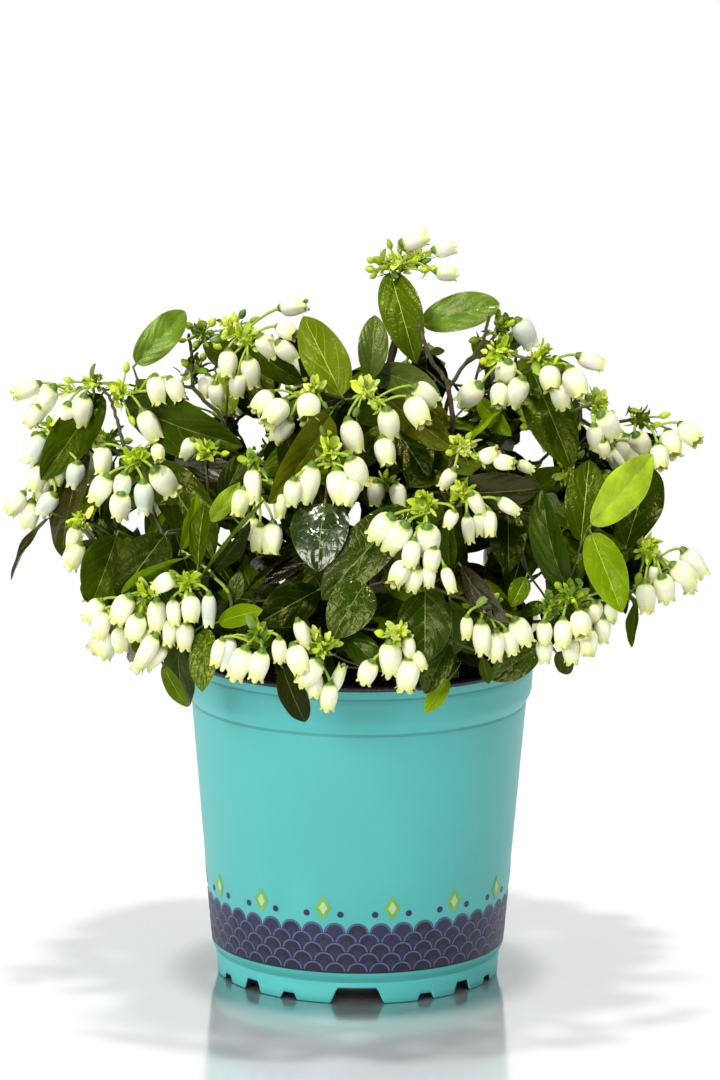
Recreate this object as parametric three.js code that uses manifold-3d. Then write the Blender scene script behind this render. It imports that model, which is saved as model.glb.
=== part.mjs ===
// Dwarf blueberry bush in a round nursery pot, an assembly of closed solids.
// Millimetres, +Z up, origin on the floor at the pot's axis. The front is -Y.
import * as THREE from 'three';
import { mergeVertices } from 'three/addons/utils/BufferGeometryUtils.js';
import Module from 'manifold-3d';

const wasm = await Module();
wasm.setup();

// ---------------------------------------------------------------- sizes
const GAP = 0.35;              // clearance kept between neighbouring solids

// pot
const POT_HEIGHT = 118;
const LIP_R = 65;              // outer radius of the rounded black lip
const BAND_TOP_R = 62;         // upper band, just under the lip
const BAND_FOOT_R = 61.4;
const BAND_FOOT_Z = 103.2;
const BODY_TOP_R = 59.6;       // straight taper of the body
const BODY_TOP_Z = 98.9;
const BODY_FOOT_R = 52.2;
const BODY_FOOT_Z = 10.5;
const FOOT_R = 50.9;           // foot ring
const FOOT_TOP_Z = 7.5;
const FOOT_WALL = 3.6;
const WALL = 1.5;
const BASE_Z = 6.8;            // underside of the base plate
const POT_SIDES = 36;

// drain notches in the foot ring: angle from the front, widths at top and foot, height
const NOTCH_KINDS = {
  big: { top: 13, foot: 20, height: 5.6 },
  mid: { top: 5, foot: 9, height: 4.0 },
  small: { top: 4, foot: 7, height: 2.3 },
};
const NOTCH_QUARTER = [['small', 28.5], ['mid', 47], ['small', 65]];

// soil
const SOIL_TOP_Z = 110.8;

// short stem base, from a flat cut at soil level up to the fork
const STEM_FOOT_R = 12.5;
const STEM_NECK_R = 10.2;
const STEM_HEIGHT = 9;
const STEM_LEAN = 1.2;         // sideways shift of the fork
const CANE_RING_R = 7.3;       // ring on which the outer canes start

// foliage masses: [azimuth deg (0 = +X, -90 = front), reach, height,
//                  half width across, half depth outward, half height]
const MASSES = {
  top_sprig: [55, 30, 246, 19, 18, 20],
  top_shoulder: [24, 44, 227, 19, 20, 17],
  upper_left: [157, 50, 220, 22, 22, 20],
  left_shoulder: [168, 78, 209, 22, 22, 19],
  left_tip: [175, 104, 199, 21, 21, 18],
  left_low_tip: [-179, 109, 168, 20, 16, 22],
  left_mid: [-162, 83, 182, 22, 21, 20],
  left_lower: [-166, 92, 151, 23, 21, 20],
  left_skirt: [-149, 91, 129, 27, 21, 20],
  centre_upper: [-130, 26, 218, 25, 24, 23],
  inner_left: [-131, 68, 196, 21, 21, 20],
  centre_mid: [-101, 73, 190, 22, 22, 21],
  centre_right_upper: [-66, 48, 210, 23, 22, 20],
  right_upper: [12, 70, 213, 26, 24, 20],
  right_tip: [5, 103, 191, 22, 22, 18],
  right_mid: [-16, 86, 178, 24, 21, 20],
  right_low_tip: [-4, 106, 146, 20, 18, 18],
  right_skirt: [-29, 90, 131, 27, 21, 19],
  centre_right: [-55, 77, 186, 22, 21, 19],
  centre_front: [-83, 91, 167, 25, 24, 23],
  right_lower: [-56, 91, 154, 21, 21, 22],
  skirt_front: [-80, 88, 131, 22, 21, 20],
  skirt_front_left: [-106, 88, 131, 23, 21, 22],
  lower_left: [-123, 90, 159, 21, 21, 22],
  back_top: [100, 38, 222, 25, 24, 20],
  back_upper_left: [132, 74, 206, 25, 24, 20],
  back_upper_right: [52, 74, 207, 25, 24, 20],
  back_mid_left: [150, 94, 174, 24, 22, 22],
  back_mid: [113, 90, 180, 26, 25, 23],
  back_mid_right: [78, 91, 178, 25, 25, 23],
  back_side_right: [42, 92, 176, 25, 23, 22],
  back_low_left: [163, 92, 137, 25, 20, 20],
  back_low_mid_left: [129, 94, 141, 27, 22, 21],
  back_low_mid: [94, 96, 139, 27, 22, 21],
  back_low_mid_right: [60, 94, 140, 27, 22, 21],
  back_low_right: [26, 93, 138, 25, 21, 21],
};
const MASS_DETAIL = 3;         // octahedron subdivision of one mass
const MASS_SIZE = 1.14;        // overall fullness of the crown
const MASS_UNEVEN = 0.2;      // depth of the lobes
const MASS_SPACE = 0.9;        // space between neighbouring masses
const SPREAD_X = 125.2;        // half spread of the crown, left to right
const SPREAD_Y = 119.0;        // half spread, front to back
const CROWN_TOP_Z = 266;

// woody limbs: parent null = rises from the stem base at that azimuth,
// otherwise leaves its parent at that fraction of the parent's length
const LIMBS = {
  cane_middle: { to: 'top_sprig', at: null, az: null, r: 2.6, tip: 1.2, rise: 60 },
  cane_front: { to: 'centre_front', at: null, az: -86, r: 2.4, tip: 1.2, rise: 34 },
  cane_front_right: { to: 'centre_right', at: null, az: -41, r: 2.4, tip: 1.2, rise: 40 },
  cane_right: { to: 'right_mid', at: null, az: 4, r: 2.4, tip: 1.2, rise: 36 },
  cane_back_right: { to: 'back_side_right', at: null, az: 49, r: 2.4, tip: 1.2, rise: 36 },
  cane_back: { to: 'back_mid_right', at: null, az: 94, r: 2.4, tip: 1.2, rise: 38 },
  cane_back_left: { to: 'back_upper_left', at: null, az: 139, r: 2.4, tip: 1.2, rise: 44 },
  cane_left: { to: 'left_mid', at: null, az: 184, r: 2.4, tip: 1.2, rise: 36 },
  cane_front_left: { to: 'inner_left', at: null, az: 229, r: 2.4, tip: 1.2, rise: 42 },
  bough_top_shoulder: { to: 'top_shoulder', parent: 'cane_middle', at: 0.62, r: 1.5, tip: 1.0, rise: 22 },
  bough_centre_upper: { to: 'centre_upper', parent: 'cane_middle', at: 0.45, r: 1.5, tip: 1.0, rise: 26 },
  bough_right_upper: { to: 'right_upper', parent: 'cane_right', at: 0.5, r: 1.5, tip: 1.0, rise: 26 },
  bough_right_skirt: { to: 'right_skirt', parent: 'cane_front_right', at: 0.22, r: 1.5, tip: 1.0, rise: 5 },
  bough_skirt_front: { to: 'skirt_front_left', parent: 'cane_front', at: 0.3, r: 1.5, tip: 1.0, rise: 5 },
  bough_left_skirt: { to: 'left_skirt', parent: 'cane_left', at: 0.25, r: 1.5, tip: 1.0, rise: 5 },
  bough_upper_left: { to: 'upper_left', parent: 'cane_back_left', at: 0.5, r: 1.5, tip: 1.0, rise: 18 },
  bough_back_low: { to: 'back_low_mid_left', parent: 'cane_back', at: 0.25, r: 1.5, tip: 1.0, rise: 5 },
};
const LIMB_SIDES = 6;
const LIMB_STEPS = 6;
const SOCKET = 3;              // how far a limb reaches into its mass

// colours and finish
const FINISH = {
  pot: { color: 0x5fccc4, roughness: 0.42, metalness: 0 },
  soil: { color: 0x4a2a1c, roughness: 0.95, metalness: 0 },
  bark: { color: 0x5b4a33, roughness: 0.85, metalness: 0 },
  foliage: { color: 0x3f6b22, roughness: 0.5, metalness: 0 },
};

// ---------------------------------------------------------------- helpers
const V = (x, y, z) => new THREE.Vector3(x, y, z);
const rad = THREE.MathUtils.degToRad;
const polar = (az, reach, z) => V(reach * Math.cos(rad(az)), reach * Math.sin(rad(az)), z);

function randomFrom(seed) {
  let s = seed >>> 0;
  return () => {
    s = (s + 0x6d2b79f5) >>> 0;
    let t = Math.imul(s ^ (s >>> 15), 1 | s);
    t = (t + Math.imul(t ^ (t >>> 7), 61 | t)) ^ t;
    return ((t ^ (t >>> 14)) >>> 0) / 4294967296;
  };
}

function bare(geometry) {
  const g = geometry.clone();
  for (const name of ['normal', 'uv']) if (g.getAttribute(name)) g.deleteAttribute(name);
  return mergeVertices(g, 1e-4);
}

function toManifold(geometry) {
  const g = bare(geometry);
  return new wasm.Manifold(new wasm.Mesh({
    numProp: 3,
    vertProperties: new Float32Array(g.getAttribute('position').array),
    triVerts: new Uint32Array(g.index.array),
  }));
}

function fromManifold(solid) {
  const m = solid.getMesh();
  const g = new THREE.BufferGeometry();
  g.setAttribute('position', new THREE.BufferAttribute(new Float32Array(m.vertProperties), 3));
  g.setIndex(new THREE.BufferAttribute(new Uint32Array(m.triVerts), 1));
  g.computeVertexNormals();
  return g;
}

function boxesMeet(a, b, space) {
  return a.min.x < b.max.x + space && b.min.x < a.max.x + space
    && a.min.y < b.max.y + space && b.min.y < a.max.y + space
    && a.min.z < b.max.z + space && b.min.z < a.max.z + space;
}

// turned about +Z from the lathe's own +Y axis
function lathe(profile, sides) {
  const g = new THREE.LatheGeometry(profile.map(([r, z]) => new THREE.Vector2(r, z)), sides);
  g.rotateX(Math.PI / 2);
  return g;
}

// ---------------------------------------------------------------- pot and soil
function potSolid() {
  const profile = [
    [0, BASE_Z], [FOOT_R - FOOT_WALL, BASE_Z], [FOOT_R - FOOT_WALL, 0], [FOOT_R, 0],
    [FOOT_R - 0.2, FOOT_TOP_Z], [BODY_FOOT_R, BODY_FOOT_Z], [BODY_TOP_R, BODY_TOP_Z],
    [BAND_FOOT_R, BAND_FOOT_Z], [BAND_TOP_R, POT_HEIGHT - 3],
    [LIP_R - 0.7, POT_HEIGHT - 2.8], [LIP_R, POT_HEIGHT - 1.4], [LIP_R - 0.9, POT_HEIGHT],
    [BAND_TOP_R - WALL, POT_HEIGHT], [BAND_FOOT_R - WALL, BAND_FOOT_Z + 0.4],
    [BODY_TOP_R - WALL, BODY_TOP_Z - 0.4], [BODY_FOOT_R - WALL, BASE_Z + WALL], [0, BASE_Z + WALL],
  ];
  let pot = toManifold(lathe(profile, POT_SIDES));
  const angles = [0, 90, 180, 270].map((a) => ['big', a]);
  for (const [kind, a] of NOTCH_QUARTER) {
    for (const mirrored of [a, -a, 180 - a, 180 + a]) angles.push([kind, mirrored]);
  }
  for (const [kind, angle] of angles) {
    const { top, foot, height } = NOTCH_KINDS[kind];
    const shape = new THREE.Shape([
      new THREE.Vector2(-foot / 2, -1), new THREE.Vector2(foot / 2, -1),
      new THREE.Vector2(foot / 2 - 0.3, 0.25), new THREE.Vector2(top / 2 + 0.35, height - 0.9),
      new THREE.Vector2(top / 2 - 0.6, height), new THREE.Vector2(-top / 2 + 0.6, height),
      new THREE.Vector2(-top / 2 - 0.35, height - 0.9), new THREE.Vector2(-foot / 2 + 0.3, 0.25),
    ]);
    const cutter = new THREE.ExtrudeGeometry(shape, { depth: 12, bevelEnabled: false });
    cutter.rotateX(Math.PI / 2);            // shape stands up, extrusion runs along -Y
    cutter.translate(0, -(FOOT_R - 8), 0);
    cutter.rotateZ(rad(angle));
    pot = pot.subtract(toManifold(cutter));
  }
  return fromManifold(pot);
}

function soilSolid() {
  const inner = (z) => BODY_FOOT_R + (BODY_TOP_R - BODY_FOOT_R) * (z - BODY_FOOT_Z) / (BODY_TOP_Z - BODY_FOOT_Z) - WALL;
  return lathe([
    [0, BASE_Z + WALL + GAP], [inner(BASE_Z + WALL) - 0.6, BASE_Z + WALL + GAP],
    [inner(BODY_TOP_Z) - 0.6, BODY_TOP_Z - 1.2], [BAND_FOOT_R - WALL - 0.6, BAND_FOOT_Z + 0.8],
    [BAND_TOP_R - WALL - 0.9, SOIL_TOP_Z], [0, SOIL_TOP_Z],
  ], POT_SIDES);
}

// ---------------------------------------------------------------- stem and limbs
const STEM_TOP = V(STEM_LEAN, -STEM_LEAN, SOIL_TOP_Z + GAP + STEM_HEIGHT);

function stemSolid() {
  const profile = [[0, 0], [STEM_FOOT_R, 0]];
  const steps = 4;
  for (let i = 1; i <= steps; i++) {
    const t = i / steps;
    profile.push([STEM_NECK_R + (STEM_FOOT_R - STEM_NECK_R) * (1 - t) ** 2.2, STEM_HEIGHT * t]);
  }
  profile.push([0, STEM_HEIGHT]);
  const g = lathe(profile, 14);
  const p = g.getAttribute('position');
  for (let i = 0; i < p.count; i++) {
    const t = p.getZ(i) / STEM_HEIGHT;
    p.setXYZ(i, p.getX(i) + STEM_LEAN * t, p.getY(i) - STEM_LEAN * t, p.getZ(i) + SOIL_TOP_Z + GAP);
  }
  return g;
}

// one tapering limb: a many-sided cylinder bent along a curve
function limbSolid(curve, r0, r1, sides, steps, grow = 0, longer = 0) {
  const g = new THREE.CylinderGeometry(1, 1, 1, sides, steps);
  const frames = curve.computeFrenetFrames(64, false);
  const p = g.getAttribute('position');
  for (let i = 0; i < p.count; i++) {
    const t = p.getY(i) + 0.5;
    const k = Math.round(t * 64);
    const at = curve.getPointAt(t);
    if (t <= 0) at.addScaledVector(frames.tangents[0], -longer);
    if (t >= 1) at.addScaledVector(frames.tangents[64], longer);
    const r = r0 + (r1 - r0) * t + grow;
    at.addScaledVector(frames.normals[k], p.getX(i) * r);
    at.addScaledVector(frames.binormals[k], p.getZ(i) * r);
    p.setXYZ(i, at.x, at.y, at.z);
  }
  // keep the faces pointing out whichever way the frame turns
  const m = toManifold(g);
  if (m.volume() < 0) g.index.array.reverse();
  return g;
}

// ---------------------------------------------------------------- foliage masses
const massNames = Object.keys(MASSES);
const centres = massNames.map((n) => polar(MASSES[n][0], MASSES[n][1], MASSES[n][2]));
const weights = massNames.map((n) => {
  const [, , , w, d, h] = MASSES[n];
  return ((w + d + h) / 3) ** 2;
});

function massGeometry(index) {
  const name = massNames[index];
  const [az, , , halfWidth, halfDepth, halfHeight] = MASSES[name];
  const out = V(Math.cos(rad(az)), Math.sin(rad(az)), 0);
  const across = V(-out.y, out.x, 0);
  const rnd = randomFrom(977 + index * 131);
  const waves = [];
  for (let k = 0; k < 6; k++) {
    const dir = V(rnd() - 0.5, rnd() - 0.5, rnd() - 0.5).normalize();
    waves.push([dir, 2.2 + 1.1 * k, rnd() * 6.28, 1 / (1 + 0.35 * k)]);
  }
  const g = bare(new THREE.OctahedronGeometry(1, MASS_DETAIL));
  const p = g.getAttribute('position');
  const centre = centres[index];
  for (let i = 0; i < p.count; i++) {
    const d = V(p.getX(i), p.getY(i), p.getZ(i)).normalize();
    let r = MASS_SIZE / Math.hypot(d.dot(out) / halfDepth, d.dot(across) / halfWidth, d.z / halfHeight);
    let lobes = 0;
    for (const [dir, f, phase, a] of waves) lobes += a * Math.sin(f * d.dot(dir) * 2 + phase);
    r *= 1 + MASS_UNEVEN * lobes * 0.5;
    for (let j = 0; j < centres.length; j++) {
      if (j === index) continue;
      const n = centres[j].clone().sub(centre);
      const far = n.length();
      n.divideScalar(far);
      const face = (far * far + weights[index] - weights[j]) / (2 * far) - MASS_SPACE / 2;
      const s = d.dot(n);
      if (s > 1e-6) r = Math.min(r, face / s);
    }
    // the crown's own limits
    const limits = [[d.x, SPREAD_X - centre.x], [-d.x, SPREAD_X + centre.x], [d.y, SPREAD_Y - centre.y],
      [-d.y, SPREAD_Y + centre.y], [d.z, CROWN_TOP_Z - centre.z]];
    for (const [s, room] of limits) if (s > 1e-6) r = Math.min(r, room / s);
    p.setXYZ(i, centre.x + d.x * r, centre.y + d.y * r, centre.z + d.z * r);
  }
  p.needsUpdate = true;
  return g;
}

// the spread is brought to its named size by the outermost vertex on each side
function reachLimits(geometries) {
  const ends = [
    { axis: 'x', sign: 1, to: SPREAD_X }, { axis: 'x', sign: -1, to: SPREAD_X },
    { axis: 'y', sign: 1, to: SPREAD_Y }, { axis: 'y', sign: -1, to: SPREAD_Y },
    { axis: 'z', sign: 1, to: CROWN_TOP_Z },
  ];
  for (const { axis, sign, to } of ends) {
    let best = null;
    for (const g of geometries) {
      const p = g.getAttribute('position');
      for (let i = 0; i < p.count; i++) {
        const v = V().fromBufferAttribute(p, i);
        if (!best || v[axis] * sign > best.value) best = { value: v[axis] * sign, g, i, v };
      }
    }
    best.v[axis] = to * sign;
    best.g.getAttribute('position').setXYZ(best.i, best.v.x, best.v.y, best.v.z);
  }
}

function surfaceRadius(geometry, centre, dir) {
  const p = geometry.getAttribute('position');
  const ray = new THREE.Ray(centre, dir);
  const hit = V(0, 0, 0);
  for (let i = 0; i < geometry.index.count; i += 3) {
    const [a, b, c] = [0, 1, 2].map((k) => V().fromBufferAttribute(p, geometry.index.getX(i + k)));
    if (ray.intersectTriangle(a, b, c, false, hit)) return hit.distanceTo(centre);
  }
  return 0;
}

const massGeometries = massNames.map((_, i) => massGeometry(i));
reachLimits(massGeometries);

const limbCurves = {};
for (const [name, limb] of Object.entries(LIMBS)) {
  const k = massNames.indexOf(limb.to);
  const centre = centres[k];
  let start;
  let lift;
  if (limb.parent) {
    const parent = limbCurves[limb.parent];
    start = parent.curve.getPointAt(limb.at);
    lift = parent.curve.getTangentAt(limb.at).multiplyScalar(limb.rise * 0.5)
      .add(V(0, 0, limb.rise * 0.5));
  } else {
    const ring = limb.az === null ? V(0, 0, 0) : polar(limb.az, CANE_RING_R, 0);
    start = STEM_TOP.clone().add(ring).add(V(0, 0, GAP));
    lift = V(0, 0, limb.rise);
  }
  const inward = start.clone().add(lift).sub(centre).normalize();
  const end = centre.clone().addScaledVector(inward, surfaceRadius(massGeometries[k], centre, inward) - SOCKET);
  const bend = end.clone().addScaledVector(inward, start.distanceTo(end) * 0.3);
  limbCurves[name] = { curve: new THREE.CubicBezierCurve3(start, start.clone().add(lift), bend, end), limb };
}

// ---------------------------------------------------------------- assembly
const bush = new THREE.Group();
bush.name = 'blueberry_bush_in_pot';

function add(parent, name, geometry, finish) {
  const mesh = new THREE.Mesh(geometry, new THREE.MeshStandardMaterial(FINISH[finish]));
  mesh.name = name;
  parent.add(mesh);
}

const container = new THREE.Group();
add(container, 'pot', potSolid(), 'pot');
add(container, 'soil', soilSolid(), 'soil');
bush.add(container);

const wood = new THREE.Group();
add(wood, 'stem_base', stemSolid(), 'bark');
const cutters = [];
for (const [name, { curve, limb }] of Object.entries(limbCurves)) {
  let g = limbSolid(curve, limb.r, limb.tip, LIMB_SIDES, LIMB_STEPS);
  if (limb.parent) {
    const p = limbCurves[limb.parent];
    const around = toManifold(limbSolid(p.curve, p.limb.r, p.limb.tip, LIMB_SIDES, LIMB_STEPS, GAP, 1));
    g = fromManifold(toManifold(g).subtract(around));
  }
  add(wood, name, g, 'bark');
  const grown = limbSolid(curve, limb.r, limb.tip, LIMB_SIDES, LIMB_STEPS, GAP, GAP);
  grown.computeBoundingBox();
  cutters.push({ solid: toManifold(grown), box: grown.boundingBox });
}
bush.add(wood);

// nothing of the crown touches the pot: the masses stay out of this round block
const potRoom = lathe([[0, -2], [LIP_R + 1.2, -2], [LIP_R + 1.2, POT_HEIGHT + 1], [0, POT_HEIGHT + 1]], POT_SIDES);
const potCutter = { solid: toManifold(potRoom), box: new THREE.Box3(V(-LIP_R - 2, -LIP_R - 2, -2), V(LIP_R + 2, LIP_R + 2, POT_HEIGHT + 1)) };

const crown = new THREE.Group();
massGeometries.forEach((g, i) => {
  g.computeBoundingBox();
  let solid = toManifold(g);
  for (const cut of [potCutter, ...cutters]) {
    if (boxesMeet(g.boundingBox, cut.box, 0.5)) solid = solid.subtract(cut.solid);
  }
  add(crown, `foliage_${massNames[i]}`, fromManifold(solid), 'foliage');
});
bush.add(crown);

export default bush;
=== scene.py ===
import math
import bpy
import numpy as np
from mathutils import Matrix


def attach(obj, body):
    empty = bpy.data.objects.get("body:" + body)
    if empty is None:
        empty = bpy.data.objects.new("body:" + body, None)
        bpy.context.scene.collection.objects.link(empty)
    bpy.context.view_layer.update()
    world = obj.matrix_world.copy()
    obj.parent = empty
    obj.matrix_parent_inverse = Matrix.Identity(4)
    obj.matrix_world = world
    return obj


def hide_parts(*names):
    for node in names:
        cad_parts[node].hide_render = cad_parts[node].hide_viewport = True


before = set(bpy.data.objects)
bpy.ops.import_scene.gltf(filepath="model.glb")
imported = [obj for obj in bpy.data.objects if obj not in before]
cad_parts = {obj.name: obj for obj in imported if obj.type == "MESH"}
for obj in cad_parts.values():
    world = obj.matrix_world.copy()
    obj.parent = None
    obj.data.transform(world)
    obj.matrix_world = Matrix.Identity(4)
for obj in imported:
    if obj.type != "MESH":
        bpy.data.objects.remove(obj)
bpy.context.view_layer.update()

MM = 0.001
rng = np.random.default_rng(7459)

# =====================================================================
# camera: the bush is placed by what this view shows
# =====================================================================
ELEV = math.radians(14.088)
PITCH = math.radians(11.638)
ROLL = math.radians(0.347)
FOCAL_PX = 6147.4              # for a picture 720 x 1080
CAM = np.array([0.0, -2200 * math.cos(ELEV), 60 + 2200 * math.sin(ELEV)])
FWD = np.array([0.0, math.cos(PITCH), -math.sin(PITCH)])
_r = np.array([1.0, 0.0, 0.0])
_u = np.cross(_r, FWD)
RIGHT = math.cos(ROLL) * _r + math.sin(ROLL) * _u
UP = -math.sin(ROLL) * _r + math.cos(ROLL) * _u
PX = 2.8                       # picture pixels per millimetre at the plant


def at_depth(px, py, y):
    """The point seen at (px, py) on the plane at depth y (mm)."""
    d = FWD + (px - 360) / FOCAL_PX * RIGHT - (py - 540) / FOCAL_PX * UP
    return CAM + d * ((y - CAM[1]) / d[1])


def to_picture(p):
    d = np.asarray(p, float) - CAM
    z = d @ FWD
    return np.array([360 + FOCAL_PX * (d @ RIGHT) / z, 540 - FOCAL_PX * (d @ UP) / z])


# the crown's rough dome, which gives each thing its depth
DOME = dict(x=122.0, y=114.0, z=150.0, up=92.0, down=70.0)


def dome_value(p):
    p = np.asarray(p, float)
    dz = p[..., 2] - DOME["z"]
    rz = np.where(dz > 0, DOME["up"], DOME["down"])
    return np.sqrt((p[..., 0] / DOME["x"]) ** 2 + (p[..., 1] / DOME["y"]) ** 2 + (dz / rz) ** 2)


_ys = np.arange(-114.0, 60.0, 1.0)


def on_dome(px, py, k):
    """The point seen at (px, py) at fraction k of the dome's size; where the view misses the dome, its nearest pass."""
    pts = np.array([at_depth(px, py, y) for y in _ys])
    v = dome_value(pts)
    inside = np.nonzero(v <= k)[0]
    if len(inside) and inside[0] > 0:
        return pts[inside[0]]
    i = int(np.argmin(v))
    if len(inside):
        return pts[0]
    return at_depth(px, py, _ys[i] - (k - 0.85) * 70)


def near(px, py, k, ref, limit):
    """As on_dome, but no further in depth from ref than limit (mm)."""
    p = on_dome(px, py, k)
    return at_depth(px, py, min(max(p[1], ref - limit), ref + limit))


# =====================================================================
# small helpers
# =====================================================================
def unit(v):
    v = np.asarray(v, float)
    n = np.linalg.norm(v)
    return v / n if n > 1e-12 else np.array([0.0, 0.0, 1.0])


def side_of(axis, hint):
    """A unit vector square to axis, as near hint as can be."""
    s = np.asarray(hint, float) - axis * np.dot(hint, axis)
    if np.linalg.norm(s) < 1e-6:
        s = np.cross(axis, [1.0, 0.3, 0.2])
    return unit(s)


def turned(v, axis, angle):
    c, s = math.cos(angle), math.sin(angle)
    return v * c + np.cross(axis, v) * s + axis * np.dot(axis, v) * (1 - c)


def bezier(p0, p1, p2, p3, n):
    t = np.linspace(0, 1, n)[:, None]
    return ((1 - t) ** 3) * p0 + 3 * ((1 - t) ** 2) * t * p1 + 3 * (1 - t) * t ** 2 * p2 + t ** 3 * p3


class Soup:
    """Collects faces of many small things of one kind, and joins them into pieces."""

    def __init__(self, name, materials, slot, limit=170000, smooth=True):
        self.name, self.materials, self.slot, self.limit, self.smooth = name, materials, slot, limit, smooth
        self.parts = [[]]
        self.tris = 0

    def add(self, verts, faces, mats=0, place=None):
        """faces is a list of (array of indices k x 3 or k x 4); mats one index, or one array for each face array."""
        if not isinstance(faces, (list, tuple)):
            faces = [faces]
            mats = [mats]
        elif not isinstance(mats, (list, tuple)):
            mats = [mats] * len(faces)
        count = sum(len(f) * (f.shape[1] - 2) for f in faces)
        if self.tris + count > self.limit:
            self.parts.append([])
            self.tris = 0
        self.tris += count
        self.parts[-1].append((np.asarray(verts, float), faces, mats, place))

    def build(self):
        made = []
        for k, part in enumerate(self.parts):
            if not part:
                continue
            verts, loops, sizes, mats, places = [], [], [], [], []
            base = 0
            for v, faces, mm, place in part:
                verts.append(v)
                if place is not None:
                    places.append(place)
                for f, m in zip(faces, mm):
                    loops.append((np.asarray(f) + base).ravel())
                    sizes.append(np.full(len(f), f.shape[1]))
                    mats.append(np.full(len(f), m) if np.isscalar(m) else np.asarray(m))
                base += len(v)
            verts = np.concatenate(verts) * MM
            loops = np.concatenate(loops)
            sizes = np.concatenate(sizes)
            mats = np.concatenate(mats)
            name = self.name if len(self.parts) == 1 else f"{self.name}_{k + 1}"
            mesh = bpy.data.meshes.new(name)
            mesh.vertices.add(len(verts))
            mesh.vertices.foreach_set("co", verts.ravel().astype(np.float32))
            mesh.loops.add(len(loops))
            mesh.loops.foreach_set("vertex_index", loops.astype(np.int32))
            mesh.polygons.add(len(sizes))
            starts = np.concatenate([[0], np.cumsum(sizes)[:-1]])
            mesh.polygons.foreach_set("loop_start", starts.astype(np.int32))
            mesh.polygons.foreach_set("loop_total", sizes.astype(np.int32))
            if places:
                mesh.attributes.new("leaf_place", "FLOAT_VECTOR", "POINT").data.foreach_set(
                    "vector", np.concatenate(places).astype(np.float32).ravel())
            for m in self.materials:
                mesh.materials.append(m)
            mesh.polygons.foreach_set("material_index", mats.astype(np.int32))
            mesh.polygons.foreach_set("use_smooth", np.full(len(sizes), self.smooth))
            mesh.update(calc_edges=True)
            mesh.validate()
            obj = bpy.data.objects.new(name, mesh)
            bpy.context.scene.collection.objects.link(obj)
            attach(obj, "root")
            made.append(obj)
        return made


def grid_faces(rows, cols, closed=False):
    """Quads of a grid of rows x cols vertices; closed joins the last column to the first."""
    r = np.arange(rows - 1)[:, None]
    c = np.arange(cols if closed else cols - 1)[None, :]
    c2 = (c + 1) % cols
    return np.stack([(r * cols + c), (r * cols + c2), ((r + 1) * cols + c2), ((r + 1) * cols + c)], -1).reshape(-1, 4)


def tube(points, radii, sides, cap=True, wobble=None):
    """Verts and faces of a tube along points."""
    points = np.asarray(points, float)
    n = len(points)
    radii = np.broadcast_to(np.asarray(radii, float), (n,))
    tang = np.gradient(points, axis=0)
    tang /= np.maximum(np.linalg.norm(tang, axis=1, keepdims=True), 1e-9)
    a = side_of(tang[0], [0.3, 0.5, 0.8])
    rings = []
    ang = np.linspace(0, 2 * math.pi, sides, endpoint=False)
    for i in range(n):
        a = side_of(tang[i], a)
        b = np.cross(tang[i], a)
        r = radii[i] * (1 if wobble is None else wobble[i])
        rings.append(points[i] + (np.cos(ang)[:, None] * a + np.sin(ang)[:, None] * b) * (r if np.isscalar(r) else np.asarray(r)[:, None]))
    verts = np.concatenate(rings)
    faces = [grid_faces(n, sides, True)]
    if cap:
        verts = np.concatenate([verts, [points[0] - tang[0] * radii[0] * 0.3], [points[-1] + tang[-1] * radii[-1] * 0.6]])
        k = np.arange(sides)
        k2 = (k + 1) % sides
        faces.append(np.stack([np.full(sides, n * sides), k2, k], -1))
        faces.append(np.stack([np.full(sides, n * sides + 1), (n - 1) * sides + k, (n - 1) * sides + k2], -1))
    return verts, faces


# =====================================================================
# materials
# =====================================================================
def srgb(r, g, b):
    out = []
    for c in (r, g, b):
        c /= 255.0
        out.append(c / 12.92 if c <= 0.04045 else ((c + 0.055) / 1.055) ** 2.4)
    return (*out, 1.0)


def new_material(name, colour, rough=0.5, spec=0.5, coat=0.0, coat_rough=0.1, sss=0.0, sss_radius=(1, 1, 1), sheen=0.0):
    m = bpy.data.materials.new(name)
    m.use_nodes = True
    nt = m.node_tree
    b = nt.nodes["Principled BSDF"]
    b.inputs["Base Color"].default_value = colour
    b.inputs["Roughness"].default_value = rough
    b.inputs["Specular IOR Level"].default_value = spec
    b.inputs["Coat Weight"].default_value = coat
    b.inputs["Coat Roughness"].default_value = coat_rough
    if sss:
        b.inputs["Subsurface Weight"].default_value = sss
        b.inputs["Subsurface Radius"].default_value = sss_radius
        b.inputs["Subsurface Scale"].default_value = 0.0012
    if sheen:
        b.inputs["Sheen Weight"].default_value = sheen
    m.diffuse_color = colour
    return m, nt, b


def node(nt, kind, **values):
    n = nt.nodes.new(kind)
    for k, v in values.items():
        if hasattr(n, k) and not (k in n.inputs):
            setattr(n, k, v)
        else:
            n.inputs[k].default_value = v
    return n


def coords(nt):
    return nt.nodes.new("ShaderNodeTexCoord").outputs["Object"]


def noise(nt, scale, detail=3.0, rough=0.55, vec=None):
    n = nt.nodes.new("ShaderNodeTexNoise")
    n.inputs["Scale"].default_value = scale
    n.inputs["Detail"].default_value = detail
    n.inputs["Roughness"].default_value = rough
    nt.links.new(vec if vec is not None else coords(nt), n.inputs["Vector"])
    return n


def ramp(nt, source, stops):
    r = nt.nodes.new("ShaderNodeValToRGB")
    el = r.color_ramp.elements
    el[0].position, el[0].color = stops[0]
    el[1].position, el[1].color = stops[-1]
    for pos, col in stops[1:-1]:
        e = el.new(pos)
        e.color = col
    nt.links.new(source, r.inputs["Fac"])
    return r.outputs["Color"]


def shade(colour, f):
    return (min(1, colour[0] * f), min(1, colour[1] * f), min(1, colour[2] * f), 1.0)


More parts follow.
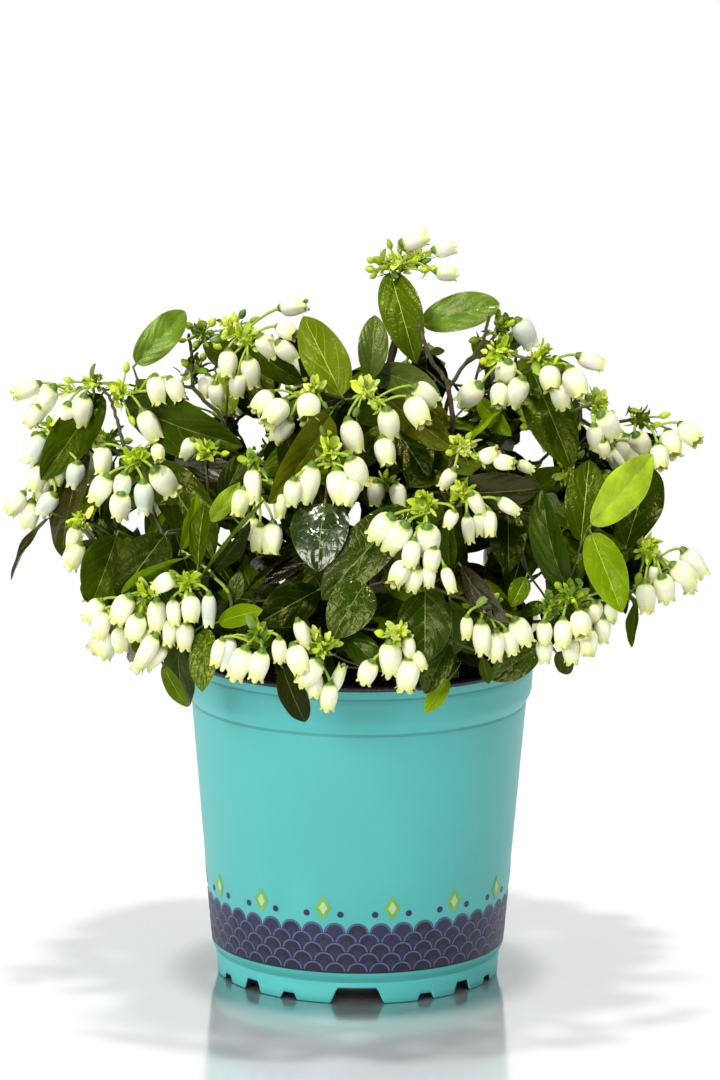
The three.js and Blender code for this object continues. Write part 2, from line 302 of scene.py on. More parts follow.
def mottle(nt, bsdf, colour, scale, low=0.8, high=1.2, tint=None):
    """Base colour that drifts between a darker and a lighter shade of itself."""
    n = noise(nt, scale, 4.0, 0.6)
    stops = [(0.3, shade(colour, low)), (0.7, tint if tint else shade(colour, high))]
    nt.links.new(ramp(nt, n.outputs["Fac"], stops), bsdf.inputs["Base Color"])
    return n


def bump(nt, bsdf, height, strength, distance=0.0003, previous=None):
    b = nt.nodes.new("ShaderNodeBump")
    b.inputs["Strength"].default_value = strength
    b.inputs["Distance"].default_value = distance
    nt.links.new(height, b.inputs["Height"])
    if previous is not None:
        nt.links.new(previous, b.inputs["Normal"])
    nt.links.new(b.outputs["Normal"], bsdf.inputs["Normal"])
    return b.outputs["Normal"]


def rough_range(nt, bsdf, source, low, high):
    r = nt.nodes.new("ShaderNodeMapRange")
    r.inputs["From Min"].default_value = 0.3
    r.inputs["From Max"].default_value = 0.7
    r.inputs["To Min"].default_value = low
    r.inputs["To Max"].default_value = high
    nt.links.new(source, r.inputs["Value"])
    nt.links.new(r.outputs["Result"], bsdf.inputs["Roughness"])


def calc(nt, op, a, b=None, c=None):
    n = nt.nodes.new("ShaderNodeMath")
    n.operation = op
    for socket, value in zip(n.inputs, (a, b, c)):
        if value is None:
            continue
        if isinstance(value, (int, float)):
            socket.default_value = value
        else:
            nt.links.new(value, socket)
    return n.outputs[0]


def smooth(nt, value, f0, f1, t0, t1):
    n = nt.nodes.new("ShaderNodeMapRange")
    n.interpolation_type = "SMOOTHSTEP"
    for key, x in (("From Min", f0), ("From Max", f1), ("To Min", t0), ("To Max", t1)):
        n.inputs[key].default_value = x
    nt.links.new(value, n.inputs["Value"])
    return n.outputs["Result"]


def blend_colour(nt, fac, a, b):
    n = nt.nodes.new("ShaderNodeMix")
    n.data_type = "RGBA"
    nt.links.new(fac, n.inputs[0])
    for socket, value in ((n.inputs[6], a), (n.inputs[7], b)):
        if isinstance(value, tuple):
            socket.default_value = value
        else:
            nt.links.new(value, socket)
    return n.outputs[2]


PAIRS = 4.2          # pairs of side veins on a leaf


def leaf_material(name, colour, rough=(0.24, 0.42), vein=None, spec=0.3, net=0.25, grain=0.2, relief=0.6, line_mix=0.3, pairs=PAIRS, tint=0.6):
    """net is how deep the veins' fine net lies, relief the pillows between the side veins, grain the skin's unevenness.
    leaf_place holds, for each point of a leaf, how far it is across (-1 to 1) and along (0 to 1), and a number of that
    leaf's own, which also darkens its colour: at random for the sprays' leaves, as painted shade (with some of the
    leaf's own tone) for the leaves placed by the view."""
    m, nt, b = new_material(name, colour, 0.35, spec)
    b.inputs["Specular Tint"].default_value = (1.0, 0.99, tint, 1.0)
    if name == "leaf_wet":
        b.inputs["IOR"].default_value = 1.62
    at = nt.nodes.new("ShaderNodeAttribute")
    at.attribute_name = "leaf_place"
    sep = nt.nodes.new("ShaderNodeSeparateXYZ")
    nt.links.new(at.outputs["Vector"], sep.inputs[0])
    across, along, luck = sep.outputs
    out = calc(nt, "ABSOLUTE", across)
    lean = calc(nt, "MULTIPLY", calc(nt, "POWER", out, 1.5), 0.42)
    phase = calc(nt, "ADD", calc(nt, "MULTIPLY", calc(nt, "SUBTRACT", along, lean), pairs), luck)
    gap = calc(nt, "PINGPONG", phase, 0.5)
    line = calc(nt, "MULTIPLY", smooth(nt, gap, 0.0, 0.06, 1.0, 0.0), smooth(nt, out, 0.60, 0.84, 1.0, 0.0))
    pillow = calc(nt, "MULTIPLY", smooth(nt, gap, 0.0, 0.5, 0.0, 1.0), smooth(nt, out, 0.86, 1.0, 1.0, 0.2))
    height = calc(nt, "MULTIPLY_ADD", line, -0.35, pillow)
    fine = noise(nt, 420.0, 3.0, 0.6)
    cell = nt.nodes.new("ShaderNodeTexVoronoi")
    cell.feature = "DISTANCE_TO_EDGE"
    cell.inputs["Scale"].default_value = 290.0 if name == "leaf_wet" else 430.0
    nt.links.new(coords(nt), cell.inputs["Vector"])
    first = bump(nt, b, smooth(nt, cell.outputs["Distance"], 0.0, 0.17, 0.0, 1.0), min(1.0, net), 0.00011)
    second = bump(nt, b, height, relief, 0.0006, first)
    bump(nt, b, fine.outputs["Fac"], grain, 0.0004, second)
    rough_range(nt, b, fine.outputs["Fac"], *rough)
    # colour: drifts, darkens by the leaf's number (as painted shade on the leaves placed by the view, as random tone on
    # the others), paler along the side veins and on the thin edge
    drift = ramp(nt, noise(nt, 80.0, 3.0, 0.6).outputs["Fac"], [(0.30, shade(colour, 0.66)), (0.70, shade(colour, 1.38))])
    own = blend_colour(nt, calc(nt, "MULTIPLY", luck, 0.85), drift, shade(colour, 0.42))
    vein = vein or (min(1, colour[0] * 2.2 + 0.05), min(1, colour[1] * 1.7 + 0.06), colour[2] * 1.6 + 0.01, 1.0)
    lined = blend_colour(nt, calc(nt, "MULTIPLY", line, line_mix), own, vein)
    edged = blend_colour(nt, smooth(nt, out, 0.93, 1.0, 0.0, 0.22), lined, vein)
    nt.links.new(edged, b.inputs["Base Color"])
    return m


LEAF_COLOURS = {       # colour, roughness, specular, net, grain, relief, line, warmth of the sheen
    "dark": (srgb(52, 72, 2), (0.20, 0.36), 0.13, 0.40, 0.20, 0.14, 0.30, 0.2),
    # deep is painted shade: a darker colour for leaves seen in shade, drawn most by the crown's inner and core sprays
    "deep": (srgb(30, 45, 4), (0.20, 0.36), 0.14, 0.40, 0.20, 0.14, 0.24, 0.2),
    "wet": (srgb(36, 58, 12), (0.15, 0.27), 1.0, 0.55, 0.14, 0.16, 0.10, 0.85),
    "shiny": (srgb(50, 74, 5), (0.15, 0.28), 0.44, 0.50, 0.16, 0.16, 0.30, 0.4),
    "sheeny": (srgb(84, 118, 3), (0.14, 0.28), 0.6, 0.80, 0.3, 0.14, 0.26, 0.25),
    "mid": (srgb(72, 96, 2), (0.20, 0.38), 0.13, 0.40, 0.18, 0.14, 0.34, 0.2),
    "green": (srgb(114, 138, 8), (0.26, 0.44), 0.16, 0.4, 0.16, 0.14, 0.50, 0.3),
    # bright and lime: partly the leaves' own fresh colour, partly painted light shining through the blade
    "bright": (srgb(124, 158, 2), (0.26, 0.44), 0.16, 0.3, 0.15, 0.1, 0.20, 0.3),
    "lime": (srgb(154, 182, 40), (0.24, 0.42), 0.3, 0.3, 0.15, 0.1, 0.20, 0.5),
    "olive": (srgb(84, 90, 4), (0.24, 0.42), 0.14, 0.34, 0.16, 0.14, 0.26, 0.2),
    "grey": (srgb(76, 96, 22), (0.28, 0.46), 0.30, 0.34, 0.16, 0.14, 0.24, 0.45),
    "bronze": (srgb(48, 47, 10), (0.18, 0.34), 0.34, 0.24, 0.16, 0.14, 0.20, 0.6),
    "plum": (srgb(42, 36, 16), (0.15, 0.30), 0.8, 0.30, 0.08, 0.16, 0.22, 0.8),
    "satin": (srgb(46, 68, 6), (0.17, 0.32), 0.28, 0.26, 0.14, 0.16, 0.46, 0.40),
    "fresh": (srgb(102, 134, 30), (0.20, 0.36), 0.38, 0.24, 0.14, 0.12, 0.30, 0.55),
}
LEAF_KEYS = list(LEAF_COLOURS)
leaf_mats = []
for key in LEAF_KEYS:
    colour, rough, spec, net, grain, relief, line_mix, tint = LEAF_COLOURS[key]
    leaf_mats.append(leaf_material(f"leaf_{key}", colour, rough, None, spec, net, grain, relief, line_mix, PAIRS, tint))


def rib_material(name, colour):
    m, nt, b = new_material(name, colour, 0.4, 0.3)
    mottle(nt, b, colour, 160.0, 0.8, 1.2)
    fine = noise(nt, 700.0, 3.0)
    bump(nt, b, fine.outputs["Fac"], 0.2, 0.0003)
    rough_range(nt, b, fine.outputs["Fac"], 0.34, 0.5)
    return m


VEIN_LIGHT = len(leaf_mats)
leaf_mats.append(rib_material("leaf_rib_light", srgb(170, 190, 66)))
VEIN_DARK = len(leaf_mats)
leaf_mats.append(rib_material("leaf_rib_dark", srgb(106, 124, 50)))
leaf_index = {k: i for i, k in enumerate(LEAF_KEYS)}


def petal_material(name, colour, sss=0.2, low=0.93, high=1.04, tint=None):
    m, nt, b = new_material(name, colour, 0.55, 0.2, 0.0, 0.2, sss, (1.0, 0.95, 0.6))
    mottle(nt, b, colour, 240.0, low, high, tint)
    fine = noise(nt, 900.0, 2.0)
    bump(nt, b, fine.outputs["Fac"], 0.12, 0.0002)
    rough_range(nt, b, fine.outputs["Fac"], 0.42, 0.58)
    return m


PETALS = [
    petal_material("petal_white", srgb(242, 242, 211)),
    petal_material("petal_tone_1", srgb(241, 242, 204)),
    petal_material("petal_tone_2", srgb(239, 241, 194)),
    petal_material("petal_tone_3", srgb(236, 239, 182)),
    petal_material("petal_tone_4", srgb(231, 235, 168)),
    petal_material("petal_tone_5", srgb(225, 230, 152)),
    petal_material("petal_lip", srgb(218, 224, 134)),
    petal_material("petal_foot", srgb(228, 234, 180)),
    # the darker, yellower inside colour of the inner wall and inner cap is painted shade of the bell's hollow
    petal_material("petal_inside_shade", srgb(206, 210, 134)),
    petal_material("petal_blush", srgb(245, 237, 222)),
    # petal_shade_blue is painted shade: the grey-blue that bells take in shade
    petal_material("petal_shade_blue", srgb(216, 225, 208)),
]
P_WHITE, P_LIP, P_FOOT, P_INSIDE_SHADE, P_BLUSH, P_SHADE_BLUE = 0, 6, 7, 8, 9, 10


def green_material(name, colour, rough=0.45, scale=300.0):
    m, nt, b = new_material(name, colour, rough, 0.4)
    mottle(nt, b, colour, scale, 0.78, 1.22)
    fine = noise(nt, 1300.0, 3.0)
    bump(nt, b, fine.outputs["Fac"], 0.25, 0.0003)
    rough_range(nt, b, fine.outputs["Fac"], rough - 0.08, rough + 0.1)
    return m


# stalk_green, bract_lime, bract_green and scale_yellow are partly the hubs' own lime colour and partly lightened as
# painted highlight
GREENS = [
    green_material("calyx_green", srgb(92, 126, 42)),
    green_material("stalk_green", srgb(160, 184, 52)),
    green_material("bract_lime", srgb(190, 212, 38)),
    green_material("bract_green", srgb(150, 178, 22)),
    green_material("twig_green", srgb(96, 108, 34), 0.5, 160.0),
    green_material("twig_red", srgb(64, 54, 22), 0.55, 160.0),
    green_material("stamen", srgb(206, 180, 60), 0.5),
    green_material("sepal_green", srgb(182, 200, 92)),
    green_material("scale_yellow", srgb(222, 228, 104)),
    green_material("scale_deep", srgb(100, 128, 18)),
    green_material("twig_dark", srgb(60, 66, 26), 0.5, 160.0),
]
G_CALYX, G_STALK, G_LIME, G_BRACT, G_TWIG, G_TWIG_RED, G_STAMEN, G_SEPAL, G_YELLOW, G_DEEP, G_TWIG_DARK = range(11)


def bark_material():
    m, nt, b = new_material("bark", srgb(104, 84, 58), 0.8, 0.3)
    tc = nt.nodes.new("ShaderNodeTexCoord")
    mp = nt.nodes.new("ShaderNodeMapping")
    mp.inputs["Scale"].default_value = (1.0, 1.0, 0.22)
    nt.links.new(tc.outputs["Object"], mp.inputs["Vector"])
    n = noise(nt, 420.0, 6.0, 0.7, mp.outputs["Vector"])
    col = ramp(nt, n.outputs["Fac"], [(0.28, srgb(36, 30, 16)), (0.5, srgb(68, 58, 34)), (0.72, srgb(108, 96, 64))])
    nt.links.new(col, b.inputs["Base Color"])
    bump(nt, b, n.outputs["Fac"], 0.9, 0.0008)
    rough_range(nt, b, n.outputs["Fac"], 0.7, 0.92)
    return m


BARK = bark_material()

# =====================================================================
# soups: one for each kind of thing
# =====================================================================
leaves = Soup("leaves", leaf_mats, "foliage")
flowers = Soup("flower_bells", PETALS, "foliage")
stalks = Soup("flower_stalks", GREENS, "foliage")
bracts = Soup("bud_scales", GREENS, "foliage")
twigs = Soup("twigs", GREENS, "bark")
limbs = Soup("canes_and_boughs", [BARK], "bark")


# =====================================================================
# leaf
# =====================================================================
S_FULL = np.array([-1.0, -0.88, -0.62, -0.32, -0.016, 0.016, 0.32, 0.62, 0.88, 1.0])
S_FILL = np.array([-1.0, -0.55, -0.028, 0.028, 0.55, 1.0])


def leaf_half_width(t, q, skew=0.92):
    t = np.clip(t, 0, 1)
    return np.clip(np.sin(math.pi * t ** skew), 0, 1) ** (q + 0.16 * np.clip((t - 0.72) / 0.28, 0, 1) ** 2)


def add_leaf(base, tip, normal, width, colour, arch=0.5, fold=0.25, twist=0.0, wave=0.0, full=True, veins=False, q=0.82,
             rib=None, droop=0.0, cup=0.0, luck=None, skew=0.92):
    """One leaf blade from base to tip; width in mm; arch, fold, twist in radians."""
    base, tip = np.asarray(base, float), np.asarray(tip, float)
    chord = np.linalg.norm(tip - base)
    if chord < 1.0:
        return
    ydir = (tip - base) / chord
    zdir = side_of(ydir, normal)
    xdir = np.cross(ydir, zdir)
    arch = arch if abs(arch) > 0.02 else 0.02
    length = chord * (arch / 2) / math.sin(abs(arch) / 2) * (1 if arch > 0 else -1)
    rows = (35 if veins else 17) if full else 10
    cols = S_FULL if full else S_FILL
    phase = rng.uniform(0, 6.28)
    # luck darkens the blade's colour in leaf_material; for the leaves placed by the view it is given as painted shade
    luck = rng.random() * 0.65 if luck is None else luck
    uneven = rng.uniform(-0.06, 0.06)
    sway = rng.uniform(0, 6.28, 2)
    swell = {"wet": 0.012, "shiny": 0.011, "sheeny": 0.011}.get(colour, 0.010) if full else 0.0

    def vein_place(t, s):
        """How far along a point is, as the side veins go: they wander a little and don't face each other."""
        return t + 0.042 * np.sin(6.5 * t + sway[0] + 2.0 * s) + 0.024 * np.sin(12.0 * t + sway[1] - 3.5 * s) + 0.5 / PAIRS * (s > 0)

    def surface(t, s, lift=0.0):
        tt = np.clip(t + 0.1 * np.abs(s) * np.sin(math.pi * np.clip(t, 0, 1)), 0, 1)
        hw = width / 2 * leaf_half_width(tt, q, skew) * (1 + uneven * np.sign(s))
        x = s * hw
        rel = np.abs(x) / max(width / 2, 0.1)
        turn = np.mod((vein_place(t, s) - 0.42 * np.abs(s) ** 1.5) * PAIRS + luck, 1.0)
        gap = 1 - 2 * np.abs(turn - 0.5)
        ridge = swell * width * gap * gap * (3 - 2 * gap) * np.clip((1 - np.abs(s)) / 0.4, 0, 1) * np.clip(t / 0.1, 0, 1) * np.clip((1 - t) / 0.1, 0, 1)
        n = np.abs(x) * math.tan(fold) - cup * width * rel ** 2 + ridge + lift
        n = n + wave * width * 0.09 * rel ** 2 * np.sin(t * 11 + phase + (s > 0) * 2.1)
        n = n - 0.02 * width * (np.abs(s) < 0.06) * (t > 0.02) * (t < 0.98)
        th = arch * (tt - 0.5)
        yy = length / arch * (np.sin(th) + math.sin(arch / 2))
        zz = length / arch * (np.cos(th) - math.cos(arch / 2))
        tw = twist * (t - 0.5)
        xx = x * np.cos(tw) - n * np.sin(tw)
        nn = x * np.sin(tw) + n * np.cos(tw)
        yy2 = yy + nn * np.sin(th)
        zz2 = zz + nn * np.cos(th) - droop * length * tt ** 2
        return base + xx[..., None] * xdir + yy2[..., None] * ydir + zz2[..., None] * zdir

    t = np.linspace(0, 1, rows)
    t = t + 0.0
    T, S = np.meshgrid(t, cols, indexing="ij")
    v = surface(T, S).reshape(-1, 3)
    f = grid_faces(rows, len(cols))
    strip = np.tile(np.arange(len(cols) - 1), rows - 1)
    rib = VEIN_LIGHT if rib is None else rib
    main = leaf_index[colour]
    if full:
        m = np.where((strip == 4), rib, main)
    else:
        m = np.where(strip == 2, rib, main)
    place = np.stack([S, vein_place(T, S), np.full(S.shape, luck)], -1).reshape(-1, 3)
    leaves.add(v, [f], [m], place)


# =====================================================================
# flowers
# =====================================================================
def bell_prototype(seed):
    """Unit bell: belly radius 1, length 1 along +z from the calyx to the lips. Returns verts, faces, regions."""
    r = np.random.default_rng(seed)
    cols = 20
    ang = np.linspace(0, 2 * math.pi, cols, endpoint=False)
    five = np.cos(5 * ang)
    lobe = np.tile([1.0, 0.80, -0.1, 0.80], 5)
    zs = [0.0, 0.015, 0.045, 0.1, 0.18, 0.28, 0.40, 0.52, 0.62, 0.71, 0.79, 0.85]
    rs = [0.2, 0.42, 0.62, 0.79, 0.91, 0.98, 1.0, 0.975, 0.925, 0.86, 0.79, 0.745]
    taper = r.uniform(-0.10, 0.06)
    rings = []
    for i, (z, rad) in enumerate(zip(zs, rs)):
        ridge = 0.022 + 0.070 * z * z
        rr = rad * (1 + ridge * five) * (1 + taper * (z - 0.4))
        rings.append(np.stack([rr * np.cos(ang), rr * np.sin(ang), np.full(cols, z)], -1))
    flare = r.uniform(0.0, 0.17)
    lobes = r.uniform(0.09, 0.135)
    mouth = (0.73 + r.uniform(-0.04, 0.05)) * (1 + taper * 0.45)
    jitter = 1 + r.uniform(-0.16, 0.16, cols)
    ends = [(0.3, 0.05), (0.68, 0.5), (1.0, 1.3)]
    for part, out in ends:
        z = 0.87 + lobes * part * lobe * jitter
        rr = mouth * (1 + 0.07 * five) + flare * out * lobe - 0.05 * (1 - lobe) * part
        rings.append(np.stack([rr * np.cos(ang), rr * np.sin(ang), z], -1))
    # inner wall, back up into the bell
    for z, rad in ((0.90, 0.62), (0.80, 0.66), (0.5, 0.82), (0.16, 0.6)):
        zz = np.minimum(z, 0.87 + lobes * 0.9 * lobe)
        rings.append(np.stack([rad * np.cos(ang), rad * np.sin(ang), zz], -1))
    v = np.concatenate(rings)
    n = len(rings)
    v = np.concatenate([v, [[0, 0, 0.0]], [[0, 0, 0.18]]])
    f = grid_faces(n, cols, True)
    row = np.repeat(np.arange(n - 1), cols)
    # the tone runs from white to green-yellow down the bell; further up between the lobes it turns greener as painted
    # crease shade
    height = np.concatenate([zs, [0.88, 0.93, 0.97]])
    column = np.tile(np.arange(cols), n - 1)
    between = np.abs(((column + 0.5) % 4) - 2) / 2
    tone = (height[np.minimum(row, 14)] - 0.44) / 0.46 * 6 + 0.9 * between * (row > 6) + r.uniform(-0.35, 0.35, len(f))
    region = np.clip(np.round(tone), 0, 6).astype(int)
    region[row < 2] = P_FOOT
    region[row == 2] = 3
    region[row == 3] = 1
    # the inner wall and the cap inside take the inside colour: painted shade of the hollow
    region[row >= 15] = P_INSIDE_SHADE
    k = np.arange(cols)
    k2 = (k + 1) % cols
    caps = np.concatenate([np.stack([np.full(cols, n * cols), k2, k], -1),
                           np.stack([np.full(cols, n * cols + 1), (n - 1) * cols + k, (n - 1) * cols + k2], -1)])
    capm = np.concatenate([np.full(cols, P_FOOT), np.full(cols, P_INSIDE_SHADE)])
    # slight bend, so that no two bells are alike
    lean = r.uniform(-0.12, 0.12, 2)
    v[:, 0] += lean[0] * v[:, 2] ** 2
    v[:, 1] += lean[1] * v[:, 2] ** 2
    return v, f, region, caps, capm


BELLS = [bell_prototype(100 + i) for i in range(9)]


def calyx_prototype():
    """Green cup and five pointed sepals that lie on the bell's shoulder; in the bell's own radius and length."""
    cols = 20
    ang = np.linspace(0, 2 * math.pi, cols, endpoint=False)
    lobe = np.tile([1.0, 0.42, 0.0, 0.42], 5)
    rings = []
    for z, r in ((-0.15, 0.10), (-0.14, 0.20), (-0.095, 0.33), (-0.04, 0.43), (-0.004, 0.46)):
        rings.append(np.stack([r * np.cos(ang), r * np.sin(ang), np.full(cols, z)], -1))
    for r, z in ((0.60, 0.050), (0.73, 0.100), (0.82, 0.150)):
        rr = 0.46 + (r - 0.46) * lobe
        rings.append(np.stack([rr * np.cos(ang), rr * np.sin(ang), z * lobe], -1))
    v = np.concatenate(rings)
    f = grid_faces(len(rings), cols, True)
    tone = np.where(np.repeat(np.arange(len(rings) - 1), cols) < 4, G_CALYX, G_SEPAL)
    return v, f, tone


CALYX = calyx_prototype()


def place(v, origin, zdir, xhint, rx, rz):
    x = side_of(zdir, xhint)
    y = np.cross(zdir, x)
    return origin + v[:, :1] * rx * x + v[:, 1:2] * rx * y + v[:, 2:3] * rz * zdir


flower_count = 0


def add_flower(base, direction, length, radius, tone="", style=False):
    global flower_count
    flower_count += 1
    v, f, region, caps, capm = BELLS[rng.integers(len(BELLS))]
    d = unit(direction)
    hint = rng.normal(size=3)
    verts = place(v, np.asarray(base, float), d, hint, radius, length)
    region = region.copy()
    outer = region <= P_LIP
    if tone == "pink":
        region[outer] = np.maximum(region[outer] - 1, 0)
        region[region <= 0] = P_BLUSH
    # these bells are painted shade: their outside turns grey-blue
    elif tone == "blue":
        region[outer] = np.maximum(region[outer] - 3, 0)
        region[region <= 0] = P_SHADE_BLUE
    # yellower outside: the young bells' own colour, and painted shade for the bells that sit in shadow
    elif tone == "young":
        region[outer] = np.minimum(region[outer] + 2, P_LIP)
    flowers.add(verts, [f, caps], [region, capm])
    cv, cf, ct = CALYX
    stalks.add(place(cv, np.asarray(base, float), d, hint, radius * rng.uniform(0.94, 1.06), length), [cf], [ct])
    if style:
        o = np.asarray(base, float)
        tv, tf = tube([o + d * length * 0.5, o + d * length * 0.98], [0.35, 0.3], 5)
        stalks.add(tv, tf, G_STAMEN)


def add_bud(base, direction, length, radius):
    """A closed, greenish bud: a plump tear."""
    cols, d = 10, unit(direction)
    ang = np.linspace(0, 2 * math.pi, cols, endpoint=False)
    rings = [np.stack([r * np.cos(ang), r * np.sin(ang), np.full(cols, z)], -1)
             for z, r in ((0, 0.4), (0.12, 0.75), (0.35, 1.0), (0.6, 0.92), (0.85, 0.55), (1.0, 0.12))]
    v = np.concatenate(rings)
    stalks.add(place(v, np.asarray(base, float), d, rng.normal(size=3), radius, length), [grid_faces(6, cols, True)],
               [int(rng.choice([G_LIME, G_BRACT, G_CALYX], p=[0.5, 0.3, 0.2]))])


def add_scale(base, direction, length, radius, mat=None):
    """A plump, pointed, slightly flattened scale."""
    cols, d = 6, unit(direction)
    ang = np.linspace(0, 2 * math.pi, cols, endpoint=False)
    rings = [np.stack([r * np.cos(ang), 0.6 * r * np.sin(ang), np.full(cols, z)], -1)
             for z, r in ((0, 0.45), (0.25, 0.95), (0.55, 1.0), (0.82, 0.6), (1.0, 0.06))]
    v = np.concatenate(rings)
    bracts.add(place(v, np.asarray(base, float), d, rng.normal(size=3), radius, length), [grid_faces(5, cols, True)],
               [mat if mat is not None else int(rng.choice([G_LIME, G_BRACT, G_YELLOW, G_DEEP], p=[0.4, 0.3, 0.2, 0.1]))])


def add_bract(base, direction, normal, length, width, mat=None):
    """A small pointed leaflet or bud scale."""
    d = unit(direction)
    n = side_of(d, normal)
    x = np.cross(d, n)
    ts = np.array([0, 0.2, 0.45, 0.7, 0.9, 1.0])
    w = np.array([0.32, 0.85, 1.0, 0.90, 0.54, 0.04]) * width / 2
    bend = rng.uniform(0.05, 0.3)
    rows = []
    for t, hw in zip(ts, w):
        c = base + d * length * t + n * length * bend * (t - t * t) * 1.2
        rows += [c - x * hw + n * hw * 0.35, c, c + x * hw + n * hw * 0.35]
    bracts.add(np.array(rows), [grid_faces(6, 3)], [mat if mat is not None else int(rng.choice([G_LIME, G_BRACT, G_YELLOW, G_DEEP], p=[0.42, 0.3, 0.16, 0.12]))])


# =====================================================================
# woody limbs, as in the frame: control points (mm), radius at foot and tip
# =====================================================================
LIMBS = {
    "cane_middle": ((1.2, -1.2, 120.5), (1.2, -1.2, 180.5), (5.8, 6.2, 199.3), (13.2, 18.1, 229.7), 2.6, 1.2),
    "cane_front": ((1.7, -8.5, 120.5), (1.7, -8.5, 154.5), (5.9, -45.1, 160.1), (8.3, -66.4, 163.3), 2.4, 1.2),
    "cane_front_right": ((6.7, -6.0, 120.5), (6.7, -6.0, 160.5), (21.6, -28.7, 170.6), (33.2, -46.4, 178.6), 2.4, 1.2),
    "cane_right": ((8.5, -0.7, 120.5), (8.5, -0.7, 156.5), (41.9, -11.1, 166.2), (63.3, -17.7, 172.4), 2.4, 1.2),
    "cane_back_right": ((6.0, 4.3, 120.5), (6.0, 4.3, 156.5), (35.5, 31.4, 165.7), (53.0, 47.5, 171.2), 2.4, 1.2),
    "cane_back": ((0.7, 6.1, 120.5), (0.7, 6.1, 158.5), (9.3, 45.4, 167.8), (14.6, 69.3, 173.4), 2.4, 1.2),
    "cane_back_left": ((-4.3, 3.6, 120.5), (-4.3, 3.6, 164.5), (-21.8, 23.5, 180.6), (-36.8, 40.6, 194.4), 2.4, 1.2),
    "cane_left": ((-6.1, -1.7, 120.5), (-6.1, -1.7, 156.5), (-39.4, -12.7, 168.2), (-61.1, -19.8, 175.7), 2.4, 1.2),
    "cane_front_left": ((-3.6, -6.7, 120.5), (-3.6, -6.7, 162.5), (-18.7, -23.1, 174.8), (-32.6, -38.3, 186.2), 2.4, 1.2),
    "bough_top_shoulder": ((4.9, 4.8, 189.8), (6.4, 7.2, 211.5), (13.6, 9.5, 214.7), (22.7, 12.4, 219.0), 1.5, 1.0),
    "bough_centre_upper": ((2.9, 1.5, 171.1), (3.9, 3.1, 196.9), (2.7, 1.8, 198.2), (-2.9, -4.5, 203.9), 1.5, 1.0),
    "bough_right_upper": ((26.2, -6.2, 156.4), (36.3, -9.3, 177.0), (47.6, -1.0, 189.6), (57.5, 6.4, 200.8), 1.5, 1.0),
    "bough_right_skirt": ((7.9, -7.8, 138.4), (8.3, -8.3, 143.3), (44.6, -26.5, 137.0), (60.2, -34.3, 134.2), 1.5, 1.0),
    "bough_skirt_front": ((2.6, -15.9, 142.8), (2.7, -17.4, 147.3), (-10.5, -50.3, 139.3), (-16.2, -64.6, 135.9), 1.5, 1.0),
    "bough_left_skirt": ((-10.7, -3.2, 141.4), (-11.7, -3.6, 146.1), (-46.4, -26.2, 137.2), (-61.4, -36.0, 133.3), 1.5, 1.0),
    "bough_upper_left": ((-12.9, 13.4, 164.9), (-16.4, 17.4, 181.2), (-25.8, 18.0, 193.5), (-34.0, 18.6, 204.2), 1.5, 1.0),
    "bough_back_low": ((1.9, 11.6, 142.4), (2.2, 12.9, 147.0), (-29.1, 43.5, 144.0), (-42.6, 56.8, 142.6), 1.5, 1.0),
}
STEM_FOOT_Z = 111.15


class Skeleton:
    """Every point of wood that a new twig may leave from."""

    def __init__(self):
        self.p, self.d, self.r = [], [], []

    def add_path(self, pts, radii, skip=0):
        tang = np.gradient(np.asarray(pts), axis=0)
        for i in range(skip, len(pts)):
            self.p.append(pts[i])
            self.d.append(unit(tang[i]))
            self.r.append(radii[i])

    def best(self, target, open_view=False):
        p, d = np.array(self.p), np.array(self.d)
        v = target - p
        dist = np.linalg.norm(v, axis=1)
        align = np.einsum("ij,ij->i", v, d) / np.maximum(dist, 1e-6)
        inward = np.maximum(0, np.hypot(p[:, 0], p[:, 1]) - math.hypot(target[0], target[1]))
        above = np.maximum(0, p[:, 2] - target[2])
        cost = dist * (1.3 - 0.45 * align) + 0.8 * inward + 0.25 * above + 2.0
        cost[dist < 2.0] += 6
        if not open_view:
            return int(np.argmin(cost))
        # of the nearest, the one from which a straight way doesn't cross a gap that shows sky
        picks = np.argsort(cost)[:14]
        seen = [cost[i] + 4.0 * sum(in_sky(p[i] + (target - p[i]) * f) for f in (0.15, 0.3, 0.45, 0.6, 0.75, 0.9)) for i in picks]
        return int(picks[int(np.argmin(seen))])


skeleton = Skeleton()


def bark_wobble(points, sides, seed):
    r = np.random.default_rng(seed)
    n = len(points)
    w = 1 + 0.10 * r.normal(size=(n, sides)).clip(-1.5, 1.5) * 0.5
    knots = (np.sin(np.arange(n) * 0.9 + r.uniform(0, 6)) > 0.93) * 0.14
    return w + knots[:, None]


for i, (name, (a, b, c, d, r0, r1)) in enumerate(LIMBS.items()):
    pts = bezier(*(np.array(x) for x in (a, b, c, d)), 34)
    if name.startswith("cane"):
        pts = np.concatenate([pts[:1] - [[0, 0, 3.0]], pts])
    rad = np.linspace(r0, r1, len(pts))
    wob = bark_wobble(pts, 12, 50 + i)
    v, f = tube(pts, rad, 12, True, wob)
    limbs.add(v, f, 0)
    skeleton.add_path(pts[4:], rad[4:])

